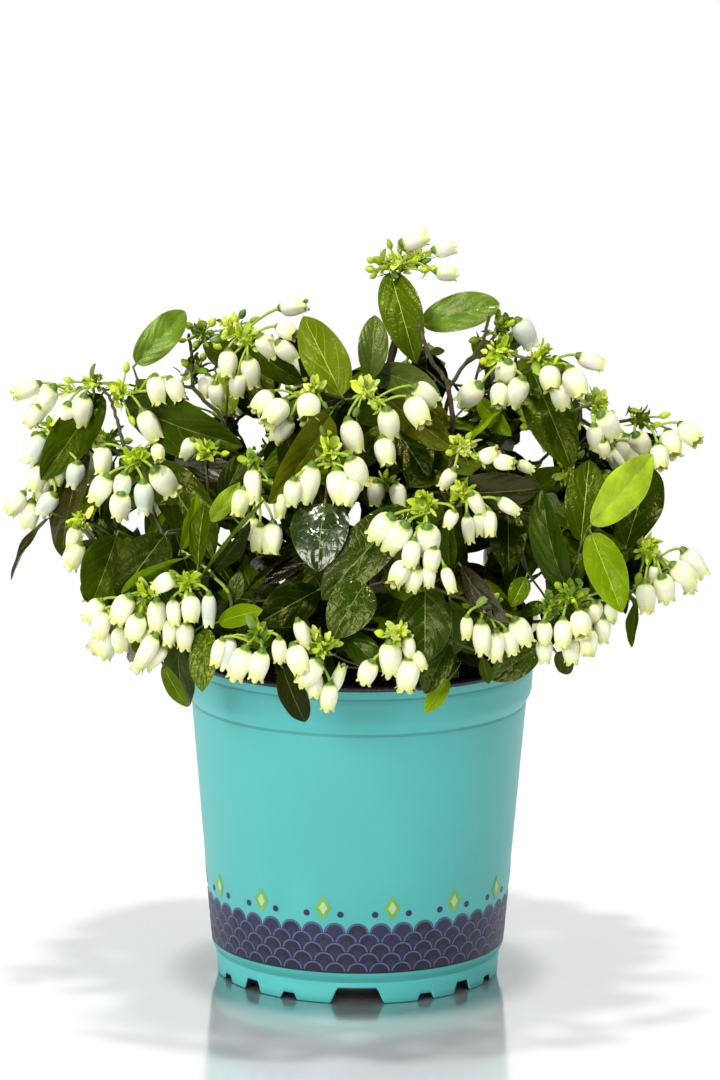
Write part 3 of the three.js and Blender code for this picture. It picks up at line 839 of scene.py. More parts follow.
# the short stem base, a flared stool with buttresses and knots
_rows, _cols = 16, 40
_v = []
for i in range(_rows):
    t = i / (_rows - 1)
    for j in range(_cols):
        a = 2 * math.pi * j / _cols
        r = 10.2 + 2.3 * (1 - t) ** 2.2
        r *= 1 + 0.07 * math.sin(5 * a + 1.3) * (1 - 0.5 * t) + 0.045 * math.sin(11 * a + 4 * t) + 0.02 * rng.normal()
        r = r * (1 if t < 0.8 else math.sqrt(max(0.0, 1 - ((t - 0.8) / 0.2) ** 2 * 0.75)))
        _v.append([r * math.cos(a) + 1.2 * t, r * math.sin(a) - 1.2 * t, STEM_FOOT_Z + 9.2 * t])
_v.append([1.2, -1.2, STEM_FOOT_Z + 9.6])
_v.append([0, 0, STEM_FOOT_Z])
_k = np.arange(_cols)
_k2 = (_k + 1) % _cols
stool = Soup("stem_foot", [BARK], "bark")
stool.add(np.array(_v), [grid_faces(_rows, _cols, True),
                         np.stack([np.full(_cols, _rows * _cols), (_rows - 1) * _cols + _k, (_rows - 1) * _cols + _k2], -1),
                         np.stack([np.full(_cols, _rows * _cols + 1), _k2, _k], -1)], 0)


def grow(target, tip_r=0.42, end_dir=None, colour=None, sag=0.0):
    """Grows a twig from the best place on the wood to target, and returns its last direction."""
    target = np.asarray(target, float)
    i = skeleton.best(target, True)
    start, d0, r_at = skeleton.p[i], skeleton.d[i], skeleton.r[i]
    dist = np.linalg.norm(target - start)
    if dist < 1.2:
        return unit(target - start + 1e-3), np.array([start, target])
    way = (target - start) / dist
    leave = unit(d0 * 0.55 + way * 0.6 + np.array([0, 0, 0.12]))
    arrive = unit(way if end_dir is None else np.asarray(end_dir) * 0.7 + way * 0.5)
    n = int(max(4, min(16, dist / 3.2)))
    across = unit(np.cross(way, CAM - target))
    tries = []
    for bow in (0.0, 0.12, -0.12, 0.26, -0.26):
        aside = across * bow * dist
        pts = bezier(start, start + leave * dist * 0.36 + aside, target - arrive * dist * 0.33 + aside, target, n)
        tries.append((sum(in_sky(q) for q in pts[1:-1]), len(tries), pts))
        if tries[-1][0] == 0:
            break
    pts = min(tries, key=lambda t: t[:2])[2]
    wig = rng.normal(size=(n, 3)) * 0.35 * min(1.0, dist / 30)
    wig[0] = wig[-1] = 0
    pts = pts + wig
    r0 = max(tip_r, min(r_at * 0.82, 0.5 + 0.011 * dist))
    rad = np.linspace(r0, tip_r, n)
    v, f = tube(pts, rad, 7 if r0 > 0.6 else 6)
    if colour is None:
        colour = G_TWIG_RED if (r0 > 0.85 or rng.random() < 0.25) else (G_TWIG_DARK if rng.random() < 0.6 else G_TWIG)
    twigs.add(v, f, colour)
    skeleton.add_path(pts, rad, 1)
    return unit(pts[-1] - pts[-2]), pts


# =====================================================================
# what the view shows: leaves and flower trusses by their place in it
# =====================================================================
# leaf: base x, y, tip x, y, width (px), colour, depth at base, at tip, roll, arch, fold, veins, shade (painted shade
# that darkens the blade's colour, with some of its own tone), where it is widest
HERO_LEAVES = [
    (136, 364, 185, 311, 34, "fresh", 0.9, 0.92, 0.3, 0.5, 0.18, 1, 0.3, 1.0),
    (102, 394, 41, 480, 42, "dark", 0.92, 0.97, -0.2, 0.7, 0.2, 1, 0.3, 0.92),
    (125, 402, 243, 446, 48, "dark", 0.93, 0.99, 0.2, 0.7, 0.22, 1, 0.35, 0.92),
    (342, 396, 303, 316, 44, "green", 0.9, 0.88, -0.2, 0.5, 0.25, 1, 0.8, 0.78),
    (247, 345, 305, 383, 25, "dark", 0.8, 0.86, 0.2, 0.4, 0.2, 0, 0.4, 0.92),
    (216, 373, 232, 414, 30, "green", 0.72, 0.78, 0.1, 0.4, 0.2, 0, 0.6, 0.92),
    (255, 370, 267, 402, 26, "olive", 0.72, 0.8, 0.1, 0.4, 0.2, 0, 1.0, 0.92),
    (330, 415, 268, 504, 40, "olive", 0.93, 0.99, -0.3, 0.6, 0.25, 1, 0.1, 0.8),
    (390, 272, 416, 364, 42, "mid", 0.92, 0.98, 0.1, 0.5, 0.2, 1, 0.35, 0.85),
    (422, 323, 500, 304, 38, "fresh", 0.9, 0.95, 0.2, 0.5, 0.15, 1, 0.3, 1.0),
    (370, 380, 375, 315, 30, "grey", 0.8, 0.82, 0.1, 0.6, 0.2, 0, 0.2, 0.92),
    (374, 370, 440, 394, 33, "grey", 0.78, 0.86, 0.2, 0.5, 0.2, 1, 0.6, 0.92),
    (430, 352, 445, 351, 9, "lime", 0.8, 0.8, 0.0, 0.3, 0.2, 0, 0.0, 0.92),
    (532, 370, 572, 468, 48, "dark", 0.92, 0.99, 0.15, 0.7, 0.2, 1, 0.6, 0.92),
    (50, 517, 11, 581, 15, "bronze", 0.92, 0.95, 0.3, 0.5, 0.3, 0, 0.6, 0.92),
    (88, 452, 62, 557, 34, "bronze", 0.86, 0.92, 0.2, 0.5, 0.3, 0, 0.2, 0.92),
    (117, 535, 92, 603, 48, "dark", 0.86, 0.92, -0.5, 0.6, 0.2, 1, 0.5, 0.92),
    (165, 535, 118, 600, 50, "deep", 0.9, 0.97, 0.1, 0.6, 0.2, 1, 0.2, 0.92),
    (185, 558, 121, 594, 12, "bright", 1.0, 1.02, 0.8, 0.4, 0.2, 0, 0.0, 0.92),
    (180, 551, 196, 492, 18, "bright", 0.98, 1.0, 0.6, 0.4, 0.3, 0, 0.3, 0.92),
    (198, 566, 205, 503, 22, "mid", 0.97, 0.98, -0.3, 0.4, 0.3, 1, 1.0, 0.92),
    (202, 575, 266, 498, 11, "mid", 1.0, 1.02, 1.0, -0.3, 0.3, 0, 0.5, 0.92),
    (213, 572, 250, 520, 16, "deep", 0.97, 0.99, 0.5, 0.3, 0.3, 0, 0.2, 0.92),
    (174, 463, 245, 472, 24, "plum", 0.8, 0.88, 0.3, 0.5, 0.2, 0, 0.0, 0.92),
    (158, 462, 213, 560, 50, "dark", 0.84, 0.92, -0.1, 0.6, 0.2, 1, 0.6, 0.92),
    (210, 522, 240, 482, 18, "lime", 0.82, 0.86, 0.2, 0.3, 0.2, 0, 0.0, 0.92),
    (222, 500, 246, 452, 26, "deep", 0.78, 0.84, 0.2, 0.3, 0.2, 0, 0.3, 0.92),
    (325, 503, 318, 572, 58, "wet", 0.93, 1.0, 0.1, 0.7, 0.12, 1, 0.2, 0.66),
    (318, 590, 258, 624, 40, "deep", 0.84, 0.94, -0.2, 0.5, 0.2, 1, 1.0, 0.92),
    (232, 603, 240, 571, 16, "shiny", 0.92, 0.94, 0.2, 0.4, 0.2, 0, 0.0, 0.92),
    (387, 399, 455, 449, 35, "olive", 0.84, 0.92, 0.2, 0.5, 0.2, 1, 0.9, 0.92),
    (398, 432, 428, 478, 40, "deep", 0.8, 0.88, 0.1, 0.5, 0.15, 1, 0.8, 0.92),
    (445, 492, 541, 488, 35, "bronze", 0.9, 0.99, 0.5, 0.8, 0.1, 0, 0.5, 0.92),
    (408, 508, 322, 600, 48, "shiny", 0.95, 1.04, -0.25, 0.6, 0.25, 1, 0.8, 0.85),
    (365, 583, 332, 639, 45, "shiny", 0.94, 1.0, -0.1, 0.6, 0.2, 1, 0.6, 0.75),
    (450, 515, 455, 593, 22, "dark", 0.86, 0.94, 0.3, 0.5, 0.25, 0, 0.4, 0.92),
    (425, 591, 425, 664, 52, "satin", 0.94, 1.02, 0.0, 0.6, 0.12, 1, 0.8, 0.85),
    (449, 643, 425, 694, 28, "shiny", 0.9, 0.98, -0.2, 0.5, 0.3, 1, 0.1, 0.92),
    (449, 679, 425, 713, 18, "bright", 0.92, 0.98, -0.2, 0.4, 0.3, 0, 0.3, 0.92),
    (461, 566, 510, 623, 19, "plum", 0.93, 0.98, 0.25, 0.8, 0.2, 0, 0.3, 0.92),
    (526, 577, 511, 607, 20, "mid", 0.92, 0.96, -0.2, 0.4, 0.2, 0, 0.0, 0.92),
    (508, 505, 509, 572, 36, "deep", 0.84, 0.92, 0.1, 0.5, 0.2, 1, 1.0, 0.92),
    (541, 645, 492, 680, 32, "shiny", 0.84, 0.88, -0.3, 0.5, 0.2, 1, 0.5, 0.92),
    (482, 657, 489, 684, 12, "dark", 0.94, 0.97, 0.2, 0.3, 0.2, 0, 0.6, 0.92),
    (544, 603, 520, 617, 16, "dark", 0.9, 0.93, 0.2, 0.4, 0.2, 0, 0.3, 0.92),
    (556, 652, 571, 673, 20, "dark", 0.8, 0.84, 0.2, 0.4, 0.2, 0, 0.3, 0.92),
    (566, 588, 542, 489, 33, "satin", 0.95, 1.0, -0.25, 0.6, 0.3, 1, 0.4, 0.92),
    (581, 542, 589, 460, 40, "mid", 0.96, 0.98, 0.1, 0.6, 0.2, 1, 0.9, 0.92),
    (591, 525, 653, 454, 38, "lime", 1.0, 1.04, 0.25, 0.5, 0.22, 1, 0.0, 0.85),
    (626, 547, 654, 469, 50, "dark", 0.86, 0.9, -0.5, 0.5, 0.2, 1, 1.0, 0.92),
    (591, 533, 622, 613, 38, "bright", 1.0, 1.09, 0.15, 0.4, 0.15, 1, 0.75, 0.85),
    (638, 600, 632, 648, 13, "mid", 0.92, 0.96, 0.15, 0.3, 0.3, 0, 0.3, 0.92),
    (178, 640, 187, 707, 28, "dark", 0.88, 0.93, 0.2, 0.5, 0.25, 1, 0.9, 0.92),
    (163, 664, 187, 707, 17, "mid", 0.98, 1.04, 0.5, 0.5, 0.25, 0, 0.0, 0.92),
    (207, 628, 202, 692, 28, "sheeny", 0.93, 0.98, 0.1, 0.5, 0.15, 1, 0.8, 0.92),
    (218, 622, 263, 610, 22, "bright", 0.95, 0.98, 0.2, 0.4, 0.15, 0, 0.8, 0.92),
    (258, 626, 265, 650, 24, "mid", 0.9, 0.93, 0.1, 0.4, 0.15, 0, 0.4, 0.92),
    (282, 667, 305, 722, 26, "deep", 0.96, 1.0, 0.2, 0.5, 0.25, 1, 1.0, 0.92),
    (322, 652, 327, 681, 20, "deep", 0.85, 0.9, 0.1, 0.3, 0.2, 0, 1.0, 0.92),
    (342, 632, 383, 670, 28, "satin", 0.9, 0.97, 0.2, 0.4, 0.2, 1, 0.1, 0.92),
    (498, 324, 499, 312, 8, "lime", 0.9, 0.9, 0.2, 0.3, 0.2, 0, 0.0, 0.92),
    (304, 550, 244, 594, 15, "deep", 0.8, 0.84, 0.3, 0.5, 0.2, 0, 0.5, 0.9),
    (304, 563, 262, 584, 13, "plum", 0.78, 0.8, 0.3, 0.4, 0.2, 0, 0.2, 0.9),
    (305, 571, 282, 590, 12, "deep", 0.78, 0.8, 0.3, 0.4, 0.2, 0, 0.7, 0.9),
    (262, 556, 300, 540, 13, "deep", 0.74, 0.78, 0.3, 0.4, 0.2, 0, 0.8, 0.9),
    (282, 512, 306, 545, 17, "deep", 0.72, 0.76, 0.1, 0.4, 0.2, 0, 0.8, 0.9),
    (345, 545, 300, 592, 24, "dark", 0.76, 0.8, 0.1, 0.5, 0.2, 0, 0.9, 0.9),
    (478, 398, 512, 436, 20, "bright", 0.76, 0.82, 0.3, 0.5, 0.2, 0, 0.5, 0.9),
    (500, 412, 472, 440, 13, "bright", 0.78, 0.84, 0.3, 0.5, 0.2, 0, 0.2, 0.9),
    (512, 396, 528, 418, 11, "lime", 0.78, 0.84, 0.3, 0.5, 0.2, 0, 0.8, 0.9),
]

# truss: hub x, y, depth, flowers (base x, y, mouth x, y, width px, tone), buds (x, y)
F = lambda *rows: rows
HERO_TRUSSES = [
    ("T", 398, 268, 0.95, [(402, 243, 428, 237, 21, "pink"), (434, 250, 455, 248, 18, "pink"), (436, 271, 458, 276, 17, "")],
     [(371, 270), (382, 262), (391, 249), (402, 247), (388, 268), (412, 262), (420, 270), (426, 262)]),
    ("T2", 384, 266, 0.95, [], [(373, 262), (376, 274), (392, 274)]),
    ("T3", 418, 262, 0.95, [], [(426, 256), (430, 268)]),
    ("A", 96, 385, 1.0, [(38, 384, 13, 396, 18, ""), (53, 388, 34, 417, 22, ""), (40, 406, 28, 426, 20, ""), (68, 405, 58, 433, 22, ""),
                         (84, 397, 80, 428, 22, "")], [(60, 380)]),
    ("B", 121, 395, 1.0, [(155, 377, 159, 405, 20, ""), (170, 379, 182, 401, 18, ""), (143, 412, 157, 442, 22, "")],
     [(130, 417), (126, 371)]),
    ("C", 243, 335, 1.0, [(281, 308, 307, 304, 20, "pink"), (278, 327, 296, 335, 18, ""), (260, 336, 275, 357, 20, ""),
                          (278, 343, 295, 361, 19, ""), (228, 351, 228, 378, 20, ""), (248, 359, 254, 388, 21, ""),
                          (238, 374, 238, 398, 18, ""), (215, 384, 218, 406, 17, "")], [(236, 322), (222, 340)]),
    ("CB", 203, 334, 0.8, [], [(192, 328), (210, 326), (218, 336), (226, 330), (198, 342), (214, 344), (186, 340)]),
    ("CC", 232, 328, 0.84, [], [(240, 318), (246, 330), (226, 336), (250, 322)]),
    ("CD", 196, 372, 0.78, [(208, 376, 204, 398, 17, "")], [(188, 366), (202, 360)]),
    ("BB", 209, 452, 0.84, [(193, 440, 184, 459, 17, "")], [(216, 446), (222, 454)]),
    ("D", 315, 389, 1.0, [(271, 393, 254, 411, 20, ""), (284, 402, 267, 424, 24, ""), (289, 419, 273, 441, 22, ""),
                          (309, 396, 308, 420, 24, "front")], [(322, 402)]),
    ("Q", 364, 392, 1.0, [(348, 421, 356, 453, 22, ""), (387, 410, 391, 439, 22, ""), (382, 439, 388, 465, 21, ""),
                          (415, 387, 437, 403, 22, ""), (410, 399, 425, 424, 24, "")], [(372, 404), (358, 408)]),
    ("P", 330, 452, 1.02, [(312, 466, 304, 504, 22, ""), (294, 480, 291, 506, 18, ""), (336, 471, 340, 503, 22, ""),
                           (354, 480, 347, 505, 18, ""), (351, 459, 364, 487, 23, "")], [(324, 436)]),
    ("G", 500, 330, 0.9, [(518, 321, 534, 348, 24, "blue")], [(468, 344), (498, 316), (508, 326)]),
    ("I", 497, 352, 1.0, [(508, 362, 503, 384, 22, ""), (522, 379, 511, 407, 22, ""), (500, 384, 498, 406, 19, ""),
                          (479, 385, 461, 404, 24, "")], [(486, 360)]),
    ("H", 538, 359, 1.05, [(548, 367, 552, 390, 22, ""), (558, 384, 564, 410, 20, ""), (570, 369, 581, 397, 24, ""),
                           (579, 356, 604, 367, 18, "pink")], [(545, 350)]),
    ("HB", 536, 420, 0.84, [(545, 428, 550, 452, 18, "blue")], [(527, 426)]),
    ("J", 595, 405, 1.0, [(601, 415, 616, 437, 24, ""), (594, 426, 598, 450, 18, ""), (603, 442, 606, 458, 13, "young")],
     [(601, 402), (590, 400)]),
    ("K", 636, 419, 1.0, [(636, 435, 647, 453, 22, ""), (668, 432, 674, 456, 24, ""), (681, 425, 698, 443, 22, ""),
                          (658, 446, 661, 469, 20, "")], [(670, 416), (654, 424)]),
    ("M", 52, 432, 0.95, [(41, 436, 27, 465, 22, "blue"), (38, 466, 33, 492, 20, ""), (23, 494, 7, 514, 20, ""),
                          (32, 502, 28, 530, 20, ""), (54, 495, 39, 515, 20, "blue"), (77, 463, 73, 488, 20, "blue"),
                          (58, 462, 54, 486, 19, ""), (44, 478, 38, 502, 18, "")], [(60, 446)]),
    ("M2", 84, 520, 0.88, [(76, 528, 71, 552, 17, "young"), (80, 544, 70, 570, 18, "young")], []),
    ("N", 137, 458, 1.02, [(103, 447, 103, 475, 19, "front"), (107, 477, 94, 503, 22, ""), (124, 474, 120, 500, 18, ""),
                           (121, 494, 119, 520, 22, ""), (143, 483, 144, 514, 20, "blue"), (155, 470, 174, 493, 25, ""),
                           (156, 445, 160, 460, 14, "young")], []),
    ("O", 255, 464, 0.97, [(252, 470, 254, 503, 18, ""), (243, 490, 238, 516, 18, "young"), (252, 517, 248, 539, 17, "young"),
                           (260, 526, 257, 552, 18, "young"), (273, 524, 271, 554, 21, ""),
                           (281, 493, 279, 518, 14, "young")], [(268, 480)]),
    ("R", 459, 448, 1.0, [(453, 470, 442, 489, 15, ""), (480, 459, 499, 451, 16, ""), (494, 461, 514, 464, 16, ""),
                          (518, 463, 533, 471, 12, "young")], [(466, 440), (452, 452)]),
    ("S", 427, 504, 1.06, [(391, 517, 373, 539, 24, ""), (405, 525, 388, 550, 26, ""), (427, 527, 429, 555, 25, ""),
                           (413, 541, 409, 568, 18, ""), (405, 563, 393, 583, 20, ""), (433, 548, 430, 572, 18, ""),
                           (417, 568, 411, 592, 18, ""), (429, 566, 429, 588, 14, ""), (454, 511, 447, 527, 14, ""),
                           (445, 568, 452, 592, 13, "")], []),
    ("U", 461, 493, 0.97, [(472, 495, 482, 516, 15, ""), (489, 511, 490, 536, 15, ""), (467, 516, 470, 544, 13, ""),
                           (479, 514, 480, 536, 14, ""), (499, 500, 519, 514, 14, "")], []),
    ("IN", 385, 486, 0.76, [(376, 482, 375, 506, 17, ""), (396, 484, 401, 508, 17, "")], []),
    ("V", 484, 606, 1.0, [(467, 617, 466, 640, 13, "young"), (481, 623, 483, 656, 19, ""), (496, 632, 497, 662, 18, ""),
                          (506, 631, 514, 655, 17, ""), (515, 620, 528, 645, 21, "")], [(492, 600)]),
    ("W", 570, 596, 1.02, [(563, 620, 563, 648, 19, ""), (571, 638, 572, 664, 19, ""), (579, 612, 582, 636, 21, ""),
                           (594, 602, 595, 624, 18, ""), (603, 618, 602, 643, 17, ""), (609, 604, 612, 622, 15, ""),
                           (590, 630, 588, 656, 18, ""), (607, 594, 622, 604, 13, "")], [(560, 588)]),
    ("W2", 550, 606, 1.0, [(544, 622, 545, 646, 16, ""), (544, 640, 545, 662, 17, "")], []),
    ("X", 647, 549, 1.02, [(684, 551, 705, 577, 21, "pink"), (673, 565, 695, 583, 22, ""), (662, 577, 669, 602, 22, ""),
                           (645, 584, 646, 613, 20, ""), (688, 572, 690, 594, 17, ""), (655, 566, 652, 584, 12, "")], [(631, 603)]),
    ("Y", 189, 583, 1.02, [(191, 596, 191, 622, 19, ""), (186, 624, 184, 650, 18, ""), (209, 595, 209, 627, 15, "blue"),
                           (173, 600, 174, 626, 15, ""), (173, 577, 154, 590, 18, ""), (172, 620, 168, 646, 16, "")], []),
    ("Y2", 147, 594, 1.02, [(101, 601, 87, 622, 19, ""), (129, 597, 114, 623, 22, ""), (103, 612, 99, 640, 19, ""),
                            (139, 616, 131, 641, 21, ""), (157, 601, 157, 633, 20, ""), (119, 628, 122, 652, 18, ""),
                            (155, 637, 135, 671, 18, ""), (165, 648, 145, 669, 14, ""), (148, 628, 148, 652, 17, "")], []),
    ("Z", 258, 634, 1.04, [(231, 639, 224, 671, 16, "blue"), (245, 649, 234, 681, 22, ""), (262, 652, 256, 681, 20, ""),
                           (279, 639, 279, 664, 15, ""), (222, 640, 214, 666, 15, "")], []),
    ("Z2", 322, 646, 1.0, [(293, 646, 303, 673, 22, ""), (298, 621, 307, 649, 15, ""), (319, 662, 299, 686, 21, ""),
                            (332, 692, 344, 663, 13, ""), (330, 684, 328, 711, 18, ""), (314, 672, 314, 698, 17, "")], []),
    ("AA", 398, 634, 1.04, [(390, 643, 392, 677, 23, ""), (409, 659, 406, 692, 24, ""), (407, 637, 411, 660, 14, ""),
                            (415, 652, 425, 670, 12, "young"), (372, 662, 362, 684, 19, "")], [(384, 634)]),
]


def flower_length(px_len, width_px, tone):
    usual = 0.47 * width_px
    if tone == "front":
        return max(px_len / PX, usual)
    return float(np.clip(usual, px_len / PX * 1.02, px_len / PX / 0.88))


HUB_TONES = {"pale": ([G_YELLOW, G_LIME, G_SEPAL, G_BRACT], [0.40, 0.32, 0.18, 0.10]),
             "mid": ([G_LIME, G_BRACT, G_YELLOW, G_DEEP], [0.46, 0.28, 0.16, 0.10]),
             "dark": ([G_DEEP, G_BRACT, G_CALYX, G_LIME], [0.42, 0.24, 0.20, 0.14])}
PALE_HUBS, DARK_HUBS = ("T", "T2", "T3", "D", "Q", "R", "CC", "AA", "J"), ("V", "W", "W2", "Z", "O", "CB", "G", "K", "CD")


def truss(hub, bases, plan, buds=(), lime=1.0, look="mid"):
    """Stalks, bells, buds and bracts of one truss. plan rows: base, direction, length, radius, tone."""
    hub = np.asarray(hub, float)

    def tint():
        return int(rng.choice(HUB_TONES[look][0], p=HUB_TONES[look][1]))

    if len(bases):
        mean = np.mean(bases, axis=0) - hub
        reach = max(np.linalg.norm(mean), 1e-3)
        axis = mean / reach
    else:
        axis = np.array([0, 0, 1.0])
    far = 0.0
    for base, direction, length, radius, tone in plan:
        along = float(np.clip(np.dot(base - hub, axis) * 0.62 - 2.0, 0, None))
        far = max(far, along)
        root = hub + axis * along
        d = unit(direction)
        gap = np.linalg.norm(base - root)
        p1 = root + (unit(base - root) * 0.6 + np.array([0, 0, 0.35])) * gap * 0.4
        p2 = base - d * min(3.2, gap * 0.4)
        pts = bezier(root, p1, p2, base, 6)
        v, f = tube(pts, np.linspace(0.42, 0.52, 6), 6, False)
        stalks.add(v, f, G_STALK)
        add_flower(base, d, length, radius, tone if tone != "front" else "", style=tone == "front" or rng.random() < 0.12)
        for _ in range(int(rng.integers(2, 5))):
            add_bract(root + rng.normal(size=3) * 0.5, unit(base - root) * 0.6 + rng.normal(size=3) * 0.6 + np.array([0, 0, 0.3]), rng.normal(size=3),
                      rng.uniform(2.0, 4.2) * lime, rng.uniform(0.9, 1.8), tint())
    if far > 1:
        pts = bezier(hub, hub + axis * far * 0.33 + [0, 0, 0.4], hub + axis * far * 0.66 + [0, 0, 0.4], hub + axis * far, 6)
        v, f = tube(pts, np.linspace(0.72, 0.5, 6), 7)
        stalks.add(v, f, G_STALK)
    for b in buds:
        b = np.asarray(b, float)
        gap = np.linalg.norm(b - hub)
        root = hub + (b - hub) * 0.1
        pts = bezier(root, root + (b - root) * 0.3 + [0, 0, 0.5], root + (b - root) * 0.7 + [0, 0, 0.3], b, 5)
        v, f = tube(pts, 0.4, 5, False)
        stalks.add(v, f, G_STALK)
        add_bud(b, unit(b - hub) + [0, 0, 0.2], rng.uniform(3.0, 4.4), rng.uniform(1.0, 1.45))
    # the star of small lime leaflets round the hub
    out = unit([hub[0], hub[1], 40.0])
    for i in range(int(rng.integers(18, 26))):
        d = unit(rng.normal(size=3) + out * 0.5 + [0, 0, 0.35])
        large = i < 4
        long = (rng.uniform(5.0, 7.2) if large else rng.uniform(2.6, 5.4)) * lime
        add_bract(hub + rng.normal(size=3) * (0.8 if large else 1.6), d, side_of(d, out + rng.normal(size=3) * 0.4), long,
                  long * (rng.uniform(0.44, 0.62) if large else rng.uniform(0.38, 0.58)), tint())
    # plump little scales and buds in the heart
    for _ in range(int(rng.integers(12, 19))):
        d = unit(rng.normal(size=3) + out * 0.6 + [0, 0, 0.3])
        add_scale(hub + d * rng.uniform(0.4, 2.8), d, rng.uniform(2.0, 4.2) * lime, rng.uniform(0.55, 1.05), tint())


def hero_truss(row):
    name, hx, hy, k, rows, bud_rows = row
    hub = on_dome(hx, hy, k - 0.03)
    plan, bases = [], []
    for bx, by, mx, my, w, tone in rows:
        px_len = math.hypot(mx - bx, my - by)
        length = flower_length(px_len, w, tone)
        apart = math.hypot(bx - hx, by - hy) / PX
        base = near(bx, by, k + rng.uniform(-0.015, 0.025), hub[1], 3 + 0.45 * apart)
        base = at_depth(bx, by, base[1] + 0.28 * max(0.0, by - hy - 14) / PX)
        # the bell leans out of the picture, or into it, by what its picture length lacks
        lack = math.sqrt(max(0.0, length ** 2 - (px_len / PX) ** 2))
        mouth = at_depth(mx, my, base[1] - lack * (1 if tone == "front" or rng.random() < 0.4 else -1))
        plan.append((base, mouth - base, length, w / 2 / PX * 0.96, tone))
        bases.append(base)
    buds = []
    for x, y in bud_rows:
        b = near(x, y, k + rng.uniform(-0.02, 0.02), hub[1], 4)
        gap = np.linalg.norm(b - hub)
        buds.append(hub + (b - hub) * min(1.0, 8.5 / max(gap, 1e-3)))
    truss(hub, bases, plan, buds, look="pale" if name in PALE_HUBS else ("dark" if name in DARK_HUBS else "mid"))


# bare stretches of twig that show, as rows of x, y, from the foot up; depth; radius at foot and end
HERO_TWIGS = [
    ([(453, 424), (449, 388), (443, 375), (432, 362), (424, 341), (419, 322)], 0.80, 0.95, 0.6, "bark"),
    ([(449, 387), (464, 365), (482, 345), (487, 327), (489, 317)], 0.80, 0.75, 0.55, "dark"),
    ([(124, 446), (118, 424), (112, 402), (103, 388)], 0.93, 0.7, 0.5, "dark"),
    ([(193, 388), (192, 360), (189, 334)], 0.78, 0.75, 0.55, "dark"),
    ([(192, 352), (210, 336), (239, 331)], 0.78, 0.5, 0.4, "dark"),
    ([(162, 535), (158, 522), (152, 508)], 0.86, 0.7, 0.5, "dark"),
    ([(255, 594), (276, 572), (300, 555)], 0.78, 0.8, 0.6, "dark"),
    ([(228, 592), (224, 586), (204, 566), (182, 551)], 0.96, 0.62, 0.5, "green"),
    ([(392, 330), (397, 300), (400, 272)], 0.80, 0.7, 0.5, "dark"),
]

GLOSSY = ("wet", "shiny", "sheeny", "plum")
GLOSS_WAY = {key: unit([-0.20, -0.955, 0.20]) for key in GLOSSY}       # half way between the front lamps and the view
GLOSS_WAY["wet"] = unit([-0.20, -0.92, 0.34])                          # so that the blade's lower half mirrors them

# hubs and leaf feet, nearest the stem first
jobs = []
for pts, k, r0, r1, look in HERO_TWIGS:
    foot = on_dome(*pts[0], k)
    jobs.append((foot, r0 * 0.9, "twig", (pts, k, r0, r1, look)))
for row in HERO_TRUSSES:
    hub = on_dome(row[1], row[2], row[3] - 0.03)
    jobs.append((hub, 0.62, "truss", row))
leaf_rows = []
for row in HERO_LEAVES:
    bx, by, tx, ty, w, colour, kb, kt = row[:8]
    base = on_dome(bx, by, kb)
    tip = near(tx, ty, kt, base[1], 0.6 * math.hypot(tx - bx, ty - by) / PX)
    if colour in GLOSSY:
        for _ in range(3):
            d = tip - base
            face = unit(GLOSS_WAY[colour] - 0.2 * row[9] * unit(d))
            lean = (face[0] * d[0] + face[2] * d[2]) / -face[1]
            tip = at_depth(tx, ty, base[1] + float(np.clip(lean, -12.0, 12.0)))
    leaf_rows.append((base, tip, row))
    jobs.append((base, 0.4, "leaf", (base, tip, row)))

# =====================================================================
# the rest of the crown: sprays by a seeded rule, thin where the view shows sky
# =====================================================================
SKY = np.array([(276, 586, 3), (271, 517, 4), (355, 521, 6), (291, 540, 4), (322, 644, 6), (473, 557, 8), (527, 592, 7),
                (540, 600, 6), (525, 448, 9), (537, 452, 9), (541, 462, 6), (450, 410, 5), (395, 300, 6), (253, 431, 10), (259, 447, 7),
                (357, 320, 9), (372, 345, 6), (440, 340, 10), (451, 352, 8), (452, 367, 9), (462, 383, 5), (428, 333, 6), (421, 310, 7),
                (596, 382, 10), (606, 400, 6), (672, 485, 15), (664, 505, 12), (668, 534, 10), (160, 686, 9), (150, 674, 8), (36, 540, 10),
                (12, 528, 8), (655, 612, 9), (702, 590, 9), (137, 525, 7), (180, 430, 5), (205, 540, 5), (560, 664, 6), (108, 414, 6),
                (172, 365, 8), (201, 317, 10), (314, 312, 7), (346, 350, 5), (354, 362, 4), (107, 362, 7), (123, 352, 6), (203, 384, 4),
                (621, 630, 9), (43, 548, 10), (425, 289, 11), (358, 296, 16), (689, 456, 5), (108, 423, 7), (127, 426, 6), (132, 437, 6),
                (284, 384, 5), (391, 356, 6)], float)
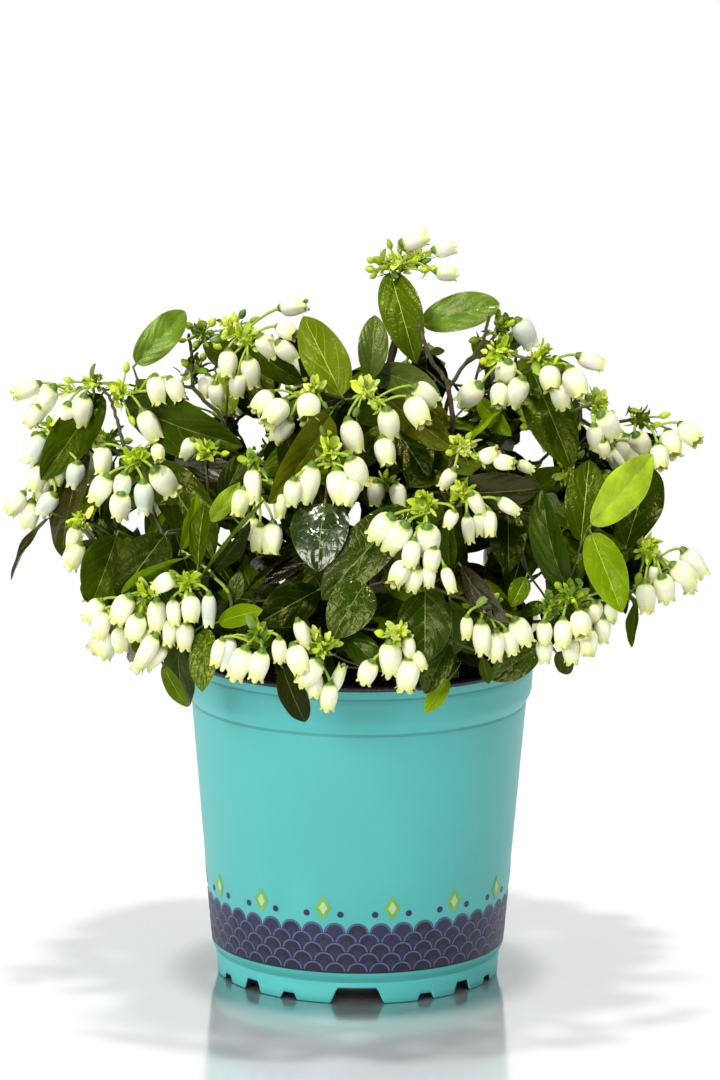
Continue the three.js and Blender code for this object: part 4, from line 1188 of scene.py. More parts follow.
OUTLINE = np.array([(656, 500), (652, 531), (700, 554), (706, 574), (698, 591), (674, 602), (650, 611), (622, 616), (605, 642), (593, 651),
                    (574, 673), (544, 666), (535, 690), (500, 684), (465, 682), (446, 693), (429, 712), (411, 689), (380, 693), (350, 688),
                    (339, 700), (316, 706), (303, 712), (292, 708), (278, 684), (255, 682), (230, 679), (205, 690), (191, 708), (177, 703),
                    (165, 676), (127, 669), (113, 642), (93, 636), (85, 622), (89, 604), (76, 592), (77, 560), (40, 520), (14, 576),
                    (12, 555), (20, 530), (10, 510), (21, 482), (19, 464), (25, 447), (34, 431), (14, 388), (48, 380), (80, 375), (101, 372),
                    (117, 372), (128, 352), (135, 337), (145, 326), (156, 316), (169, 309), (185, 308), (190, 330), (222, 330), (246, 324),
                    (275, 308), (294, 298), (305, 298), (323, 328), (343, 340), (353, 372), (362, 320), (382, 285), (372, 262), (400, 236),
                    (440, 241), (455, 268), (425, 285), (436, 305), (466, 294), (494, 296), (510, 314), (535, 325), (543, 345), (588, 352),
                    (604, 362), (590, 384), (594, 396), (616, 402), (635, 411), (675, 418), (693, 430), (703, 446), (662, 468)], float)


def inside_outline(p, margin=0.0):
    return in_polygon(to_picture(p), margin)


def in_polygon(q, margin=0.0):
    x, y = q
    c = OUTLINE.mean(0)
    pts = c + (OUTLINE - c) * (1 - margin)
    inside = False
    j = len(pts) - 1
    for i in range(len(pts)):
        xi, yi = pts[i]
        xj, yj = pts[j]
        if (yi > y) != (yj > y) and x < (xj - xi) * (y - yi) / (yj - yi) + xi:
            inside = not inside
        j = i
    return inside


def in_sky(p, extra=0.0):
    x, y = to_picture(p)
    return bool(((x - SKY[:, 0]) ** 2 + (y - SKY[:, 1]) ** 2 < (SKY[:, 2] + extra) ** 2).any())


def blade_shows_wrong(foot, end, width):
    """True where a blade from foot to end would close a gap that shows sky, or stand out past the crown's outline."""
    a, b = to_picture(foot), to_picture(end)
    ab = b - a
    size = max(ab @ ab, 1e-6)
    f = np.clip(((SKY[:, :2] - a) @ ab) / size, 0.0, 1.0)
    off = np.linalg.norm(SKY[:, :2] - (a + f[:, None] * ab), axis=1)
    half = width / 2 * PX * np.sin(math.pi * np.clip(f, 0.04, 0.96)) ** 0.8
    if (off < SKY[:, 2] + half * 0.9).any():
        return True
    across = unit([-ab[1], ab[0], 0])[:2] * width / 2 * PX
    mid = (a + b) / 2
    return not all(in_polygon(q, 0.0) for q in (b, mid, mid + across, mid - across, a + 0.75 * ab + across * 0.7, a + 0.75 * ab - across * 0.7))


# the leaves and bells placed by the view, as segments: x, y at both ends, half width (px), depth at both ends
_seg = []
for base, tip, row in leaf_rows:
    _seg.append((row[0], row[1], row[2], row[3], row[4] / 2, base[1], tip[1]))
for row in HERO_TRUSSES:
    _hub = on_dome(row[1], row[2], row[3] - 0.03)
    _seg.append((row[1] - 5, row[2], row[1] + 5, row[2], 7, _hub[1], _hub[1]))
    for bx, by, mx, my, w, tone in row[4]:
        apart = math.hypot(bx - row[1], by - row[2]) / PX
        y = near(bx, by, row[3], _hub[1], 3 + 0.45 * apart)[1] + 0.28 * max(0.0, by - row[2] - 14) / PX
        _seg.append((bx, by, mx, my, w / 2, y, y))
SHOWN = np.array(_seg, float)


def hides_shown(foot, end, width):
    """True where a blade would lie in front of a leaf, hub or bell that the view shows."""
    ab = SHOWN[:, 2:4] - SHOWN[:, 0:2]
    size = np.maximum((ab ** 2).sum(1), 1e-6)
    for f, part in ((0.12, 0.4), (0.35, 0.95), (0.6, 1.0), (0.85, 0.5), (1.0, 0.0)):
        p = foot + (end - foot) * f
        q = to_picture(p)
        g = np.clip(((q - SHOWN[:, 0:2]) * ab).sum(1) / size, 0, 1)
        off = np.linalg.norm(q - SHOWN[:, 0:2] - g[:, None] * ab, axis=1)
        depth = SHOWN[:, 5] + (SHOWN[:, 6] - SHOWN[:, 5]) * g
        if ((off < SHOWN[:, 4] * 0.8 + width / 2 * PX * part * 0.8) & (p[1] < depth + 2.0)).any():
            return True
    return False


def clear_of_pot(p, room=0.0):
    r = math.hypot(p[0], p[1])
    return p[2] > 121 + room or r > 68.5 + room


sprays = []


def scatter(count, k_range, spacing, accept, kind):
    placed = []
    tries = 0
    while len(placed) < count and tries < count * 60:
        tries += 1
        d = unit(rng.normal(size=3))
        k = rng.uniform(*k_range)
        rz = DOME["up"] if d[2] > 0 else DOME["down"]
        p = np.array([d[0] * DOME["x"], d[1] * DOME["y"], DOME["z"] + d[2] * rz]) if False else np.array(
            [d[0] * DOME["x"] * k, d[1] * DOME["y"] * k, DOME["z"] + d[2] * rz * k])
        if p[2] < 116 or not clear_of_pot(p, 4) or not accept(p):
            continue
        if any(np.linalg.norm(p - q) < spacing for q in placed):
            continue
        placed.append(p)
        sprays.append((p, kind))


# outer shell at the back and sides, and an inner layer all round whose leaves draw darker colours as painted shade
scatter(120, (0.84, 0.93), 17.5, lambda p: p[1] > 6 and inside_outline(p, 0.03) and not in_sky(p, 12), "outer")
scatter(70, (0.6, 0.72), 17.0, lambda p: inside_outline(p, 0.06) and not in_sky(p, 10), "inner")
scatter(44, (0.34, 0.5), 16.0, lambda p: not in_sky(p, 8), "core")
scatter(80, (0.68, 0.80), 14.5, lambda p: p[1] < 8 and inside_outline(p, 0.08) and not in_sky(p, 12), "mid")
# low, all round over the pot's edge
_tries = 0
_low = []
while len(_low) < 22 and _tries < 900:
    _tries += 1
    _a, _r = rng.uniform(0, 2 * math.pi), rng.uniform(36, 66)
    _p = np.array([_r * math.cos(_a), _r * math.sin(_a), rng.uniform(124, 136)])
    if in_sky(_p, 12) or any(np.linalg.norm(_p - q) < 15 for q in _low):
        continue
    _low.append(_p)
    sprays.append((_p, "low"))
for p, kind in sprays:
    jobs.append((p, 0.55 if kind == "outer" else 0.42, "spray", kind))


def leaf_normal(base, axis, up=0.55):
    out = unit([base[0], base[1], 0.6 * (base[2] - 120)])
    return side_of(axis, out * 0.8 + np.array([0, 0, up]) + rng.normal(size=3) * 0.28)


def pick(weights):
    keys = list(weights)
    w = np.array([weights[k] for k in keys], float)
    return keys[rng.choice(len(keys), p=w / w.sum())]


# the inner, core, mid and low sprays draw more of the dark and deep colours: painted shade of the crown's inside
TONES = {
    "outer": dict(dark=26, deep=14, mid=22, green=14, bright=6, lime=3, olive=8, bronze=4, grey=3),
    "inner": dict(dark=38, deep=30, mid=10, olive=14, bronze=8),
    "mid": dict(dark=34, deep=26, mid=18, green=7, olive=8, bronze=6),
    "low": dict(dark=34, deep=30, mid=18, green=6, bronze=6),
    "core": dict(dark=40, deep=45, bronze=10, olive=5),
}


def petiole(start, end, colour=G_TWIG):
    pts = bezier(start, start + (end - start) * 0.35, start + (end - start) * 0.7, end, 4)
    v, f = tube(pts, np.linspace(0.45, 0.36, 4), 5)
    twigs.add(v, f, colour)


def spray(tip, way, kind):
    """Leaves set along the last stretch of a twig, and on the outer shell often a truss at its end."""
    tone = pick(TONES[kind])
    count = {"outer": 6, "inner": 5, "core": 4, "mid": 5, "low": 5}[kind]
    golden = rng.uniform(0, 6.28)
    side = side_of(way, rng.normal(size=3))
    length0 = rng.uniform(25, 33) if kind != "core" else rng.uniform(22, 30)
    back = 24.0 if kind == "outer" else 18.0
    for i in range(count):
        t = i / max(1, count - 1)
        root = tip - way * back * (1 - t)
        ang = golden + i * 2.4
        lateral = turned(side, way, ang)
        d = unit(way * rng.uniform(0.3, 0.75) + lateral * rng.uniform(0.8, 1.1) + np.array([0, 0, rng.uniform(-0.25, 0.3)]))
        leng = length0 * rng.uniform(0.8, 1.15) * (0.75 + 0.35 * math.sin(math.pi * (0.25 + 0.6 * t)))
        foot = root + d * 2.0
        end = foot + d * leng
        if not clear_of_pot(end, 1) or not clear_of_pot(foot, 1) or not clear_of_pot((foot + end) / 2, 1):
            end = foot + unit(d + np.array([0, 0, 1.2])) * leng * 0.85
            if not clear_of_pot(end, 1) or not clear_of_pot(foot, 1):
                continue
        if blade_shows_wrong(foot, end, leng * 0.45) or hides_shown(foot, end, leng * 0.45):
            continue
        room = 0.88 if kind in ("mid", "low") else 0.82
        if end[1] < 8 and dome_value(end) > room:
            end = foot + (end - foot) * 0.72
            if dome_value(end) > room + 0.02:
                continue
        if dome_value(end) > 1.04:
            end = foot + (end - foot) * 0.75
            if dome_value(end) > 1.05:
                continue
        petiole(root, foot + d * 0.3)
        colour = tone if rng.random() < 0.7 else pick(TONES[kind])
        add_leaf(foot, end, leaf_normal(foot, unit(end - foot)), leng * rng.uniform(0.4, 0.5), colour,
                 arch=rng.uniform(0.25, 0.95), fold=rng.uniform(0.05, 0.3), twist=rng.normal() * 0.25, wave=rng.uniform(0, 1.0),
                 full=kind in ("outer", "mid"), veins=False, q=rng.uniform(0.6, 0.74),
                 rib=VEIN_LIGHT if colour in ("lime", "bright", "green") else VEIN_DARK)
    over = tip[1] < 42 and to_picture(tip)[1] < 400
    if kind == "outer" and rng.random() < 0.80 and inside_outline(tip, 0.05) and not over:
        random_truss(tip, way)
    elif kind == "inner" and rng.random() < 0.16 and tip[1] > -30:
        random_truss(tip, way)


def random_truss(tip, way):
    """A drooping truss of bells at a twig's end."""
    out = unit([tip[0], tip[1], 0])
    run = unit(out * 0.8 + way * 0.5 + np.array([0, 0, -0.25]))
    across = np.cross(run, [0, 0, 1.0])
    n = int(rng.integers(5, 10))
    hub = tip + run * 1.0
    bases, plan = [], []
    for i in range(n):
        t = (i + 0.5) / n
        swing = (1 if i % 2 else -1) * rng.uniform(0.4, 1.0)
        base = hub + run * (2 + 12 * t) + across * swing * (5.2 - 2 * t) + np.array([0, 0, -rng.uniform(2.0, 6.5) - 2.0 * (i % 3)])
        if not clear_of_pot(base, 2) or in_sky(base, 9) or not inside_outline(base, 0.03) or in_sky(base - [0, 0, 8], 9):
            continue
        d = unit(np.array([0, 0, -1.0]) + out * rng.uniform(0.05, 0.75) + across * swing * 0.3 + rng.normal(size=3) * 0.12)
        length = rng.uniform(9.4, 11.4)
        if not clear_of_pot(base + d * length, 2) or dome_value(base + d * length) > 1.07:
            continue
        if in_sky(base + d * length * 0.6, 9) or in_sky(base + d * length, 7):
            continue
        bases.append(base)
        plan.append((base, d, length, rng.uniform(3.3, 4.2), rng.choice(["", "", "", "", "blue", "pink"])))
    if len(plan) < 2:
        return
    buds = [hub + unit(out + rng.normal(size=3) * 0.6 + [0, 0, 0.8]) * rng.uniform(4, 7) for _ in range(int(rng.integers(0, 3)))]
    truss(hub, bases, plan, buds, look=("pale", "mid", "mid", "dark")[int(rng.integers(4))])


def dress(path, hub):
    """Leaves along the twig that carries a truss, behind it."""
    if not inside_outline(hub, 0.10):
        return
    run = np.concatenate([[0], np.cumsum(np.linalg.norm(np.diff(path, axis=0), axis=1))])
    total = run[-1]
    golden = rng.uniform(0, 6.28)
    at = 6.0
    i = 0
    while at < min(total - 2.0, 46.0):
        point = np.array([np.interp(total - at, run, path[:, c]) for c in range(3)])
        ahead = np.array([np.interp(total - at + 1.0, run, path[:, c]) for c in range(3)])
        way = unit(ahead - point)
        side = side_of(way, [0.3, 0.2, 1.0])
        for attempt in range(3):
            lateral = turned(side, way, golden + i * 2.4 + attempt * 0.9)
            d = unit(way * rng.uniform(0.2, 0.6) + lateral + np.array([0, 0.35, 0.05]))
            leng = rng.uniform(21, 31)
            foot = point + d * 2.0
            end = foot + d * leng
            if (end[1] < hub[1] + 2.0 or dome_value(end) > 0.93 or not clear_of_pot(end, 1) or not clear_of_pot((foot + end) / 2, 1)
                    or blade_shows_wrong(foot, end, leng * 0.45) or hides_shown(foot, end, leng * 0.45)):
                continue
            petiole(point, foot + d * 0.3)
            colour = pick(TONES["mid"])
            add_leaf(foot, end, leaf_normal(foot, d), leng * rng.uniform(0.4, 0.5), colour, arch=rng.uniform(0.25, 0.9),
                     fold=rng.uniform(0.05, 0.3), twist=rng.normal() * 0.25, wave=rng.uniform(0, 1.0), full=True, q=rng.uniform(0.6, 0.74),
                     rib=VEIN_LIGHT if colour in ("lime", "bright", "green") else VEIN_DARK)
            break
        at += rng.uniform(5.0, 7.5)
        i += 1


FOOT = np.array([0.0, 0.0, 125.0])
jobs.sort(key=lambda j: np.linalg.norm(j[0] - FOOT))
for target, tip_r, what, data in jobs:
    if what == "truss":
        way, path = grow(target, tip_r, end_dir=unit([target[0], target[1], 30.0]))
        hero_truss(data)
        dress(path, target)
    elif what == "twig":
        pts, k, r0, r1, look = data
        grow(target, r0, colour={"green": G_TWIG, "dark": G_TWIG_DARK}.get(look))
        line = [target]
        for x, y in pts[1:]:
            line.append(near(x, y, k, line[-1][1], 7))
        line = np.array(line)
        tt = np.linspace(0, len(line) - 1, 4 * len(line))
        line = np.stack([np.interp(tt, np.arange(len(line)), line[:, c]) for c in range(3)], -1)
        for _ in range(2):
            line[1:-1] = (line[:-2] + 2 * line[1:-1] + line[2:]) / 4
        line[1:-1] += rng.normal(size=(len(line) - 2, 3)) * 0.18
        rad = np.linspace(r0, r1, len(line))
        v, f = tube(line, rad, 9)
        if look == "bark":
            limbs.add(v, f, 0)
        else:
            twigs.add(v, f, {"red": G_TWIG_RED, "dark": G_TWIG_DARK}.get(look, G_STALK))
        skeleton.add_path(line, rad, 1)
    elif what == "leaf":
        base, tip, row = data
        bx, by, tx, ty, w, colour, kb, kt, roll, arch, fold, veins, painted_shade_and_tone, skew = row
        axis = unit(tip - base)
        grow(base - axis * 1.5, tip_r)
        petiole(base - axis * 1.6, base + axis * 0.4)
        length = np.linalg.norm(tip - base)
        width = w / PX
        true = max(width, 0.40 * length)
        look = unit(CAM - base)
        n0 = side_of(axis, look + np.array([0, 0, 0.35]))
        angle = math.acos(min(1.0, width / true))
        angle = angle if roll >= 0 else -angle
        if colour in GLOSSY:      # turned so that its gloss shows
            n0, roll, angle = side_of(axis, GLOSS_WAY[colour]), 0.0, angle * 0.5
            true = max(width / max(math.cos(angle), 0.5), 0.36 * length)
        normal = turned(n0, axis, angle + roll * 0.5)
        # the row's shade value darkens the blade's colour: painted shade
        add_leaf(base, tip, normal, true, colour, arch=arch, fold=fold, twist=rng.normal() * 0.15, wave=rng.uniform(0.1, 0.8) * (0.3 if colour in GLOSSY else 1.0),
                 full=True, veins=bool(veins), q=0.46 if skew > 0.98 else (rng.uniform(0.56, 0.68) if width > 7 else 0.7), cup=0.06, luck=painted_shade_and_tone, skew=skew,
                 rib=VEIN_LIGHT if colour in ("lime", "bright", "green", "mid") else VEIN_DARK)
    else:
        way, path = grow(target, tip_r)
        spray(target, way, data)

# =====================================================================
# pot
# =====================================================================
def teal_material(name="pot_teal", colour=srgb(82, 184, 180)):
    m, nt, b = new_material(name, colour, 0.42, 0.42, 0.0)
    n = mottle(nt, b, colour, 18.0, 0.965, 1.03)
    fine = noise(nt, 900.0, 2.0)
    tc = nt.nodes.new("ShaderNodeTexCoord")
    mp = nt.nodes.new("ShaderNodeMapping")
    mp.inputs["Scale"].default_value = (1.0, 1.0, 9.0)
    nt.links.new(tc.outputs["Object"], mp.inputs["Vector"])
    turn = noise(nt, 60.0, 3.0, 0.5, mp.outputs["Vector"])
    first = bump(nt, b, turn.outputs["Fac"], 0.05, 0.0006)
    bump(nt, b, fine.outputs["Fac"], 0.06, 0.0002, first)
    rough_range(nt, b, n.outputs["Fac"], 0.36, 0.46)
    return m


def plastic(name, colour, rough, low=0.8, high=1.25, scale=80.0):
    m, nt, b = new_material(name, colour, rough, 0.5)
    mottle(nt, b, colour, scale, low, high)
    fine = noise(nt, 700.0, 3.0)
    bump(nt, b, fine.outputs["Fac"], 0.12, 0.0002)
    rough_range(nt, b, fine.outputs["Fac"], max(0.05, rough - 0.07), rough + 0.09)
    return m


TEAL = teal_material()
# the foot's teal is lighter than the body's: painted light, to offset the shade near the floor
TEAL_FOOT_PAINTED_LIGHT = teal_material("pot_teal_foot_painted_light", srgb(92, 204, 200))
BLACK = plastic("pot_black", (0.010, 0.011, 0.018, 1), 0.28, 0.7, 1.4)
# the groove colour is painted shade: a darker teal in the two shallow grooves
GROOVE_SHADE = plastic("pot_groove_shade", srgb(68, 156, 153), 0.5, 0.95, 1.05)
NAVY = plastic("print_navy", srgb(22, 22, 44), 0.4, 0.85, 1.2, 300.0)
NAVY2 = plastic("print_indigo", srgb(34, 36, 68), 0.4, 0.85, 1.2, 300.0)
MIST = plastic("print_mist", srgb(84, 94, 140), 0.4, 0.9, 1.1, 300.0)
LEAFY = plastic("print_green", srgb(120, 178, 74), 0.4, 0.85, 1.15, 300.0)
LEAFY2 = plastic("print_pale_green", srgb(178, 212, 150), 0.4, 0.9, 1.1, 300.0)

BODY = [(7.5, 50.7), (8.2, 51.0), (9.2, 51.7), (10.5, 52.2)]


def body_radius(z):
    return 52.2 + (59.6 - 52.2) * (z - 10.5) / (98.9 - 10.5)


SEG = 288
ANG = np.linspace(0, 2 * math.pi, SEG, endpoint=False)        # 0 is the front, -Y
pot = Soup("pot_shell", [TEAL, BLACK, GROOVE_SHADE], "pot")


def ring(r, z, ang=None):
    a = ANG if ang is None else ang
    r = np.broadcast_to(r, a.shape)
    z = np.broadcast_to(z, a.shape)
    return np.stack([r * np.sin(a), -r * np.cos(a), z], -1)


NOTCH = {"big": (6.5, 10.0, 5.6), "mid": (2.5, 4.5, 4.0), "small": (2.0, 3.5, 2.3)}
NOTCHES = [("big", a) for a in (0, 90, 180, 270)]
for _kind, _a in (("small", 28.5), ("mid", 47.0), ("small", 65.0)):
    NOTCHES += [(_kind, m % 360) for m in (_a, -_a, 180 - _a, 180 + _a)]


def foot_height(a):
    """How high the foot ring's lower edge is at an angle."""
    h = np.zeros_like(a)
    for kind, deg in NOTCHES:
        top, foot, height = NOTCH[kind]
        off = (a - math.radians(deg) + math.pi) % (2 * math.pi) - math.pi
        s = np.abs(off) * 50.9
        x = np.clip((foot - s) / (foot - top), 0, 1)
        h = np.maximum(h, height * (x * x * (3 - 2 * x)))
    return h


FSEG = 1152
FANG = np.linspace(0, 2 * math.pi, FSEG, endpoint=False)
low = foot_height(FANG)
foot = Soup("pot_foot", [TEAL_FOOT_PAINTED_LIGHT, BLACK], "pot")
_rings = []
for f in np.linspace(1, 0, 5):           # inner face, top to bottom
    _rings.append(ring(47.3, low + (7.2 - low) * f, FANG))
_rings.append(ring(47.6, low - 0.0, FANG))
_rings.append(ring(50.5, low + 0.0, FANG))
_rings.append(ring(50.8, low + 0.25, FANG))
for f in (0.33, 0.66, 1.0):
    _rings.append(ring(50.9 - 0.2 * f, low + 0.25 + (7.5 - low - 0.25) * f, FANG))
_v = np.concatenate(_rings)
_f = grid_faces(len(_rings), FSEG, True)
_row = np.repeat(np.arange(len(_rings) - 1), FSEG)
foot.add(_v, [_f], [np.where(_row < 6, 1, 0)])

profile = [(7.5, 50.7, 0), (8.0, 50.85, 0), (8.7, 51.25, 0), (9.6, 51.9, 0), (10.6, 52.22, 0)]
for z in np.linspace(14, 96.5, 24):
    profile.append((z, body_radius(z), 0))
# rings marked 2 take the groove colour, painted shade in the grooves
profile += [(98.2, 59.52, 0), (98.75, 59.42, 2), (99.3, 59.62, 0), (100.4, 60.2, 0), (101.8, 60.95, 0), (103.0, 61.35, 0), (104.2, 61.5, 0),
            (106.5, 61.6, 0), (109.5, 61.74, 0), (111.6, 61.83, 0), (112.0, 61.68, 2), (112.4, 61.85, 0), (114.2, 61.95, 0), (115.1, 62.0, 0),
            (115.2, 62.3, 1), (115.25, 63.6, 1), (115.5, 64.5, 1), (116.0, 64.9, 1), (116.7, 65.0, 1), (117.3, 64.75, 1), (117.75, 64.2, 1),
            (117.95, 63.4, 1), (118.0, 62.5, 1), (117.85, 61.5, 1), (117.4, 60.9, 1), (116.0, 60.55, 1), (112.0, 60.3, 1), (104.0, 59.95, 1)]
pot.add(np.concatenate([ring(r, z) for z, r, m in profile]), [grid_faces(len(profile), SEG, True)],
        [np.repeat(np.array([max(profile[i][2], profile[i + 1][2]) if profile[i + 1][2] != 2 and profile[i][2] != 2 else 2
                             for i in range(len(profile) - 1)]), SEG)])
# base plate with two shallow ring ribs, seen from below
base = Soup("pot_base", [BLACK], "pot")
_r = [0.01, 8, 10, 12, 24, 26, 28, 40, 44, 47.35]
_z = [6.8, 6.8, 6.3, 6.8, 6.8, 6.3, 6.8, 6.8, 6.8, 7.0]
_pts = np.concatenate([ring(r, z) for r, z in zip(_r, _z)])
base.add(_pts, [grid_faces(len(_r), SEG, True)], [0])

# printed border: a straight band of navy scales with green lozenges, generic
deco = Soup("pot_print", [NAVY, NAVY2, MIST, LEAFY, LEAFY2], "pot")


def on_pot(s, z, lift=0.12):
    """s is the way round in mm at radius 53, from the front."""
    a = np.asarray(s) / 53.0
    r = body_radius(np.asarray(z, float)) + lift
    return np.stack([r * np.sin(a), -r * np.cos(a), np.broadcast_to(z, np.shape(a))], -1)


def add_patch(cx, cz, outline, mat, lift, rings=(0.0, 0.5, 1.0)):
    n = len(outline)
    vs = [on_pot(np.array([cx]), np.array([cz]), lift)]
    for f in rings[1:]:
        vs.append(on_pot(cx + outline[:, 0] * f, cz + outline[:, 1] * f, lift))
    v = np.concatenate(vs)
    k = np.arange(n)
    k2 = (k + 1) % n
    faces = [np.stack([np.zeros(n, int), 1 + k, 1 + k2], -1)]
    quads = np.stack([1 + k, 1 + n + k, 1 + n + k2, 1 + k2], -1)
    deco.add(v, faces + [quads], mat)


def arc_strip(cx, cz, r0, r1, a0, a1, mat, lift, n=12):
    a = np.linspace(a0, a1, n)
    v = np.concatenate([on_pot(cx + r0 * np.sin(a), cz + r0 * np.cos(a), lift), on_pot(cx + r1 * np.sin(a), cz + r1 * np.cos(a), lift)])
    k = np.arange(n - 1)
    deco.add(v, [np.stack([k, k + 1, n + k + 1, n + k], -1)], mat)


CIRC = 2 * math.pi * 53.0
_s = np.linspace(0, CIRC, 289)[:-1]
band_v = np.concatenate([on_pot(_s, np.full(288, z), 0.08) for z in (11.4, 15.0, 19.0, 23.0, 26.1)])
deco.add(band_v, [grid_faces(5, 288, True)], [0])
_disc = np.stack([np.cos(np.linspace(0, 2 * math.pi, 24, endpoint=False)), np.sin(np.linspace(0, 2 * math.pi, 24, endpoint=False))], -1)
NS = 42
step = CIRC / NS
for rowi in range(5):
    zc = 26.2 - rowi * 3.6
    for j in range(NS):
        cx = (j + 0.5 * (rowi % 2)) * step
        R = step * 0.5
        if rowi == 0:
            add_patch(cx, zc, _disc * R * 0.98, 1 if j % 3 else 0, 0.10)
        arc_strip(cx, zc, R * 0.80, R * 0.94, -1.45, 1.45, 2, 0.16 + 0.0 * rowi)
        if zc - R * 0.2 > 12.5:
            add_patch(cx, zc - R * 0.15, _disc * [R * 0.42, R * 0.42], 1, 0.15)
NL = 14
for j in range(NL):
    cx = (j + 0.5) * CIRC / NL
    hz, hw = 4.6, 3.0
    loz = np.array([(0, hz), (hw, 0), (0, -hz), (-hw, 0)], float)
    loz = np.concatenate([loz[i] + (loz[(i + 1) % 4] - loz[i]) * np.linspace(0, 1, 5)[:-1, None] for i in range(4)])
    add_patch(cx, 35.4, loz, 3, 0.12)
    add_patch(cx, 35.4, loz * 0.52, 4, 0.17)
    for sgn in (-1, 1):
        add_patch(cx + sgn * CIRC / NL / 4, 33.2, _disc * 1.15, 1, 0.12)

# =====================================================================
# soil
# =====================================================================
def soil_material(name, a, b2):
    m, nt, b = new_material(name, a, 0.95, 0.2)
    n = noise(nt, 420.0, 6.0, 0.75)
    nt.links.new(ramp(nt, n.outputs["Fac"], [(0.3, a), (0.55, b2), (0.75, shade(b2, 1.5))]), b.inputs["Base Color"])
    bump(nt, b, n.outputs["Fac"], 0.9, 0.0012)
    rough_range(nt, b, n.outputs["Fac"], 0.85, 1.0)
    return m


SOIL = soil_material("soil", srgb(52, 30, 20), srgb(120, 66, 42))
CRUMB = soil_material("soil_crumb", srgb(80, 44, 28), srgb(150, 84, 54))
soil = Soup("soil_top", [SOIL], "soil")
_R = np.linspace(0.02, 60.2, 46)
_A = np.linspace(0, 2 * math.pi, 150, endpoint=False)
_wave = [(rng.normal(size=2) * 0.35, rng.uniform(0, 6.28), rng.uniform(0.15, 0.5)) for _ in range(26)]
_pts = []
for r in _R:
    x, y = r * np.sin(_A), -r * np.cos(_A)
    z = 110.7 + 0.25 * sum(a * np.sin(x * w[0] + y * w[1] + p) for w, p, a in _wave) + rng.normal(size=len(_A)) * 0.16
    if r > 59.5:
        z = z * 0 + 109.8
    _pts.append(np.stack([x, y, z], -1))
soil.add(np.concatenate(_pts), [grid_faces(len(_R), len(_A), True)], [0])
crumbs = Soup("soil_crumbs", [SOIL, CRUMB, BARK], "soil")
_ico = np.array([(0, 0, 1), (0.894, 0, 0.447), (0.276, 0.851, 0.447), (-0.724, 0.526, 0.447), (-0.724, -0.526, 0.447), (0.276, -0.851, 0.447),
                 (0.724, 0.526, -0.447), (-0.276, 0.851, -0.447), (-0.894, 0, -0.447), (-0.276, -0.851, -0.447), (0.724, -0.526, -0.447), (0, 0, -1)])
_icof = np.array([(0, 1, 2), (0, 2, 3), (0, 3, 4), (0, 4, 5), (0, 5, 1), (1, 6, 2), (2, 7, 3), (3, 8, 4), (4, 9, 5), (5, 10, 1),
                  (2, 6, 7), (3, 7, 8), (4, 8, 9), (5, 9, 10), (1, 10, 6), (11, 7, 6), (11, 8, 7), (11, 9, 8), (11, 10, 9), (11, 6, 10)])
for _ in range(1500):
    r, a = 59.3 * math.sqrt(rng.random()), rng.uniform(0, 6.28)
    if r < 12:
        continue
    size = rng.uniform(0.35, 1.5) if rng.random() < 0.9 else rng.uniform(1.5, 2.4)
    if r + size > 59.8:
        r = 59.6 - size
    v = _ico * rng.uniform(0.6, 1.2, (12, 1)) * size * np.array([1, rng.uniform(0.5, 1.0), rng.uniform(0.5, 0.9)])
    t = rng.uniform(0, 6.28)
    v = v @ np.array([[math.cos(t), math.sin(t), 0], [-math.sin(t), math.cos(t), 0], [0, 0, 1]])
    crumbs.add(v + [r * math.cos(a), r * math.sin(a), 111.0 + size * 0.25], [_icof], [int(rng.choice([0, 1, 1, 2], p=[0.4, 0.3, 0.2, 0.1]))])

# =====================================================================
# joining, and hiding the model's own parts that these replace
# =====================================================================
names = list(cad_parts)
foliage_nodes = [n for n in names if n.startswith("foliage_")]
limb_nodes = [n for n in names if n.startswith(("cane_", "bough_"))]
made = {s.name: s.build() for s in (leaves, flowers, stalks, bracts, twigs, limbs, stool, pot, foot, base, deco, soil, crumbs)}
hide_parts(*foliage_nodes)
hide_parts(*limb_nodes)
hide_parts("stem_base")
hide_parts("pot")
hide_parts("soil")

# =====================================================================
# stage, light and camera
# =====================================================================
scene = bpy.context.scene


def stage_object(name, verts, faces, material):
    mesh = bpy.data.meshes.new(name)
    mesh.from_pydata(verts, [], faces)
    mesh.materials.append(material)
    o = bpy.data.objects.new(name, mesh)
    scene.collection.objects.link(o)
    return o


def floor_material():
    m = bpy.data.materials.new("floor")
    m.use_nodes = True
    nt = m.node_tree
    nt.nodes.clear()
    out = nt.nodes.new("ShaderNodeOutputMaterial")
    diff = nt.nodes.new("ShaderNodeBsdfDiffuse")
    diff.inputs["Color"].default_value = (0.9, 0.9, 0.9, 1)
    gloss = nt.nodes.new("ShaderNodeBsdfGlossy")
    gloss.inputs["Roughness"].default_value = 0.12
    gloss.inputs["Color"].default_value = (1, 1, 1, 1)
    mix = nt.nodes.new("ShaderNodeMixShader")
    graze = nt.nodes.new("ShaderNodeLayerWeight")
    graze.inputs["Blend"].default_value = 0.5
    less = nt.nodes.new("ShaderNodeMath")
    less.operation = "MULTIPLY"
    less.inputs[1].default_value = 0.56
    nt.links.new(graze.outputs["Facing"], less.inputs[0])
    nt.links.new(less.outputs[0], mix.inputs["Fac"])
    nt.links.new(diff.outputs[0], mix.inputs[1])
    nt.links.new(gloss.outputs[0], mix.inputs[2])
    nt.links.new(mix.outputs[0], out.inputs["Surface"])
    return m


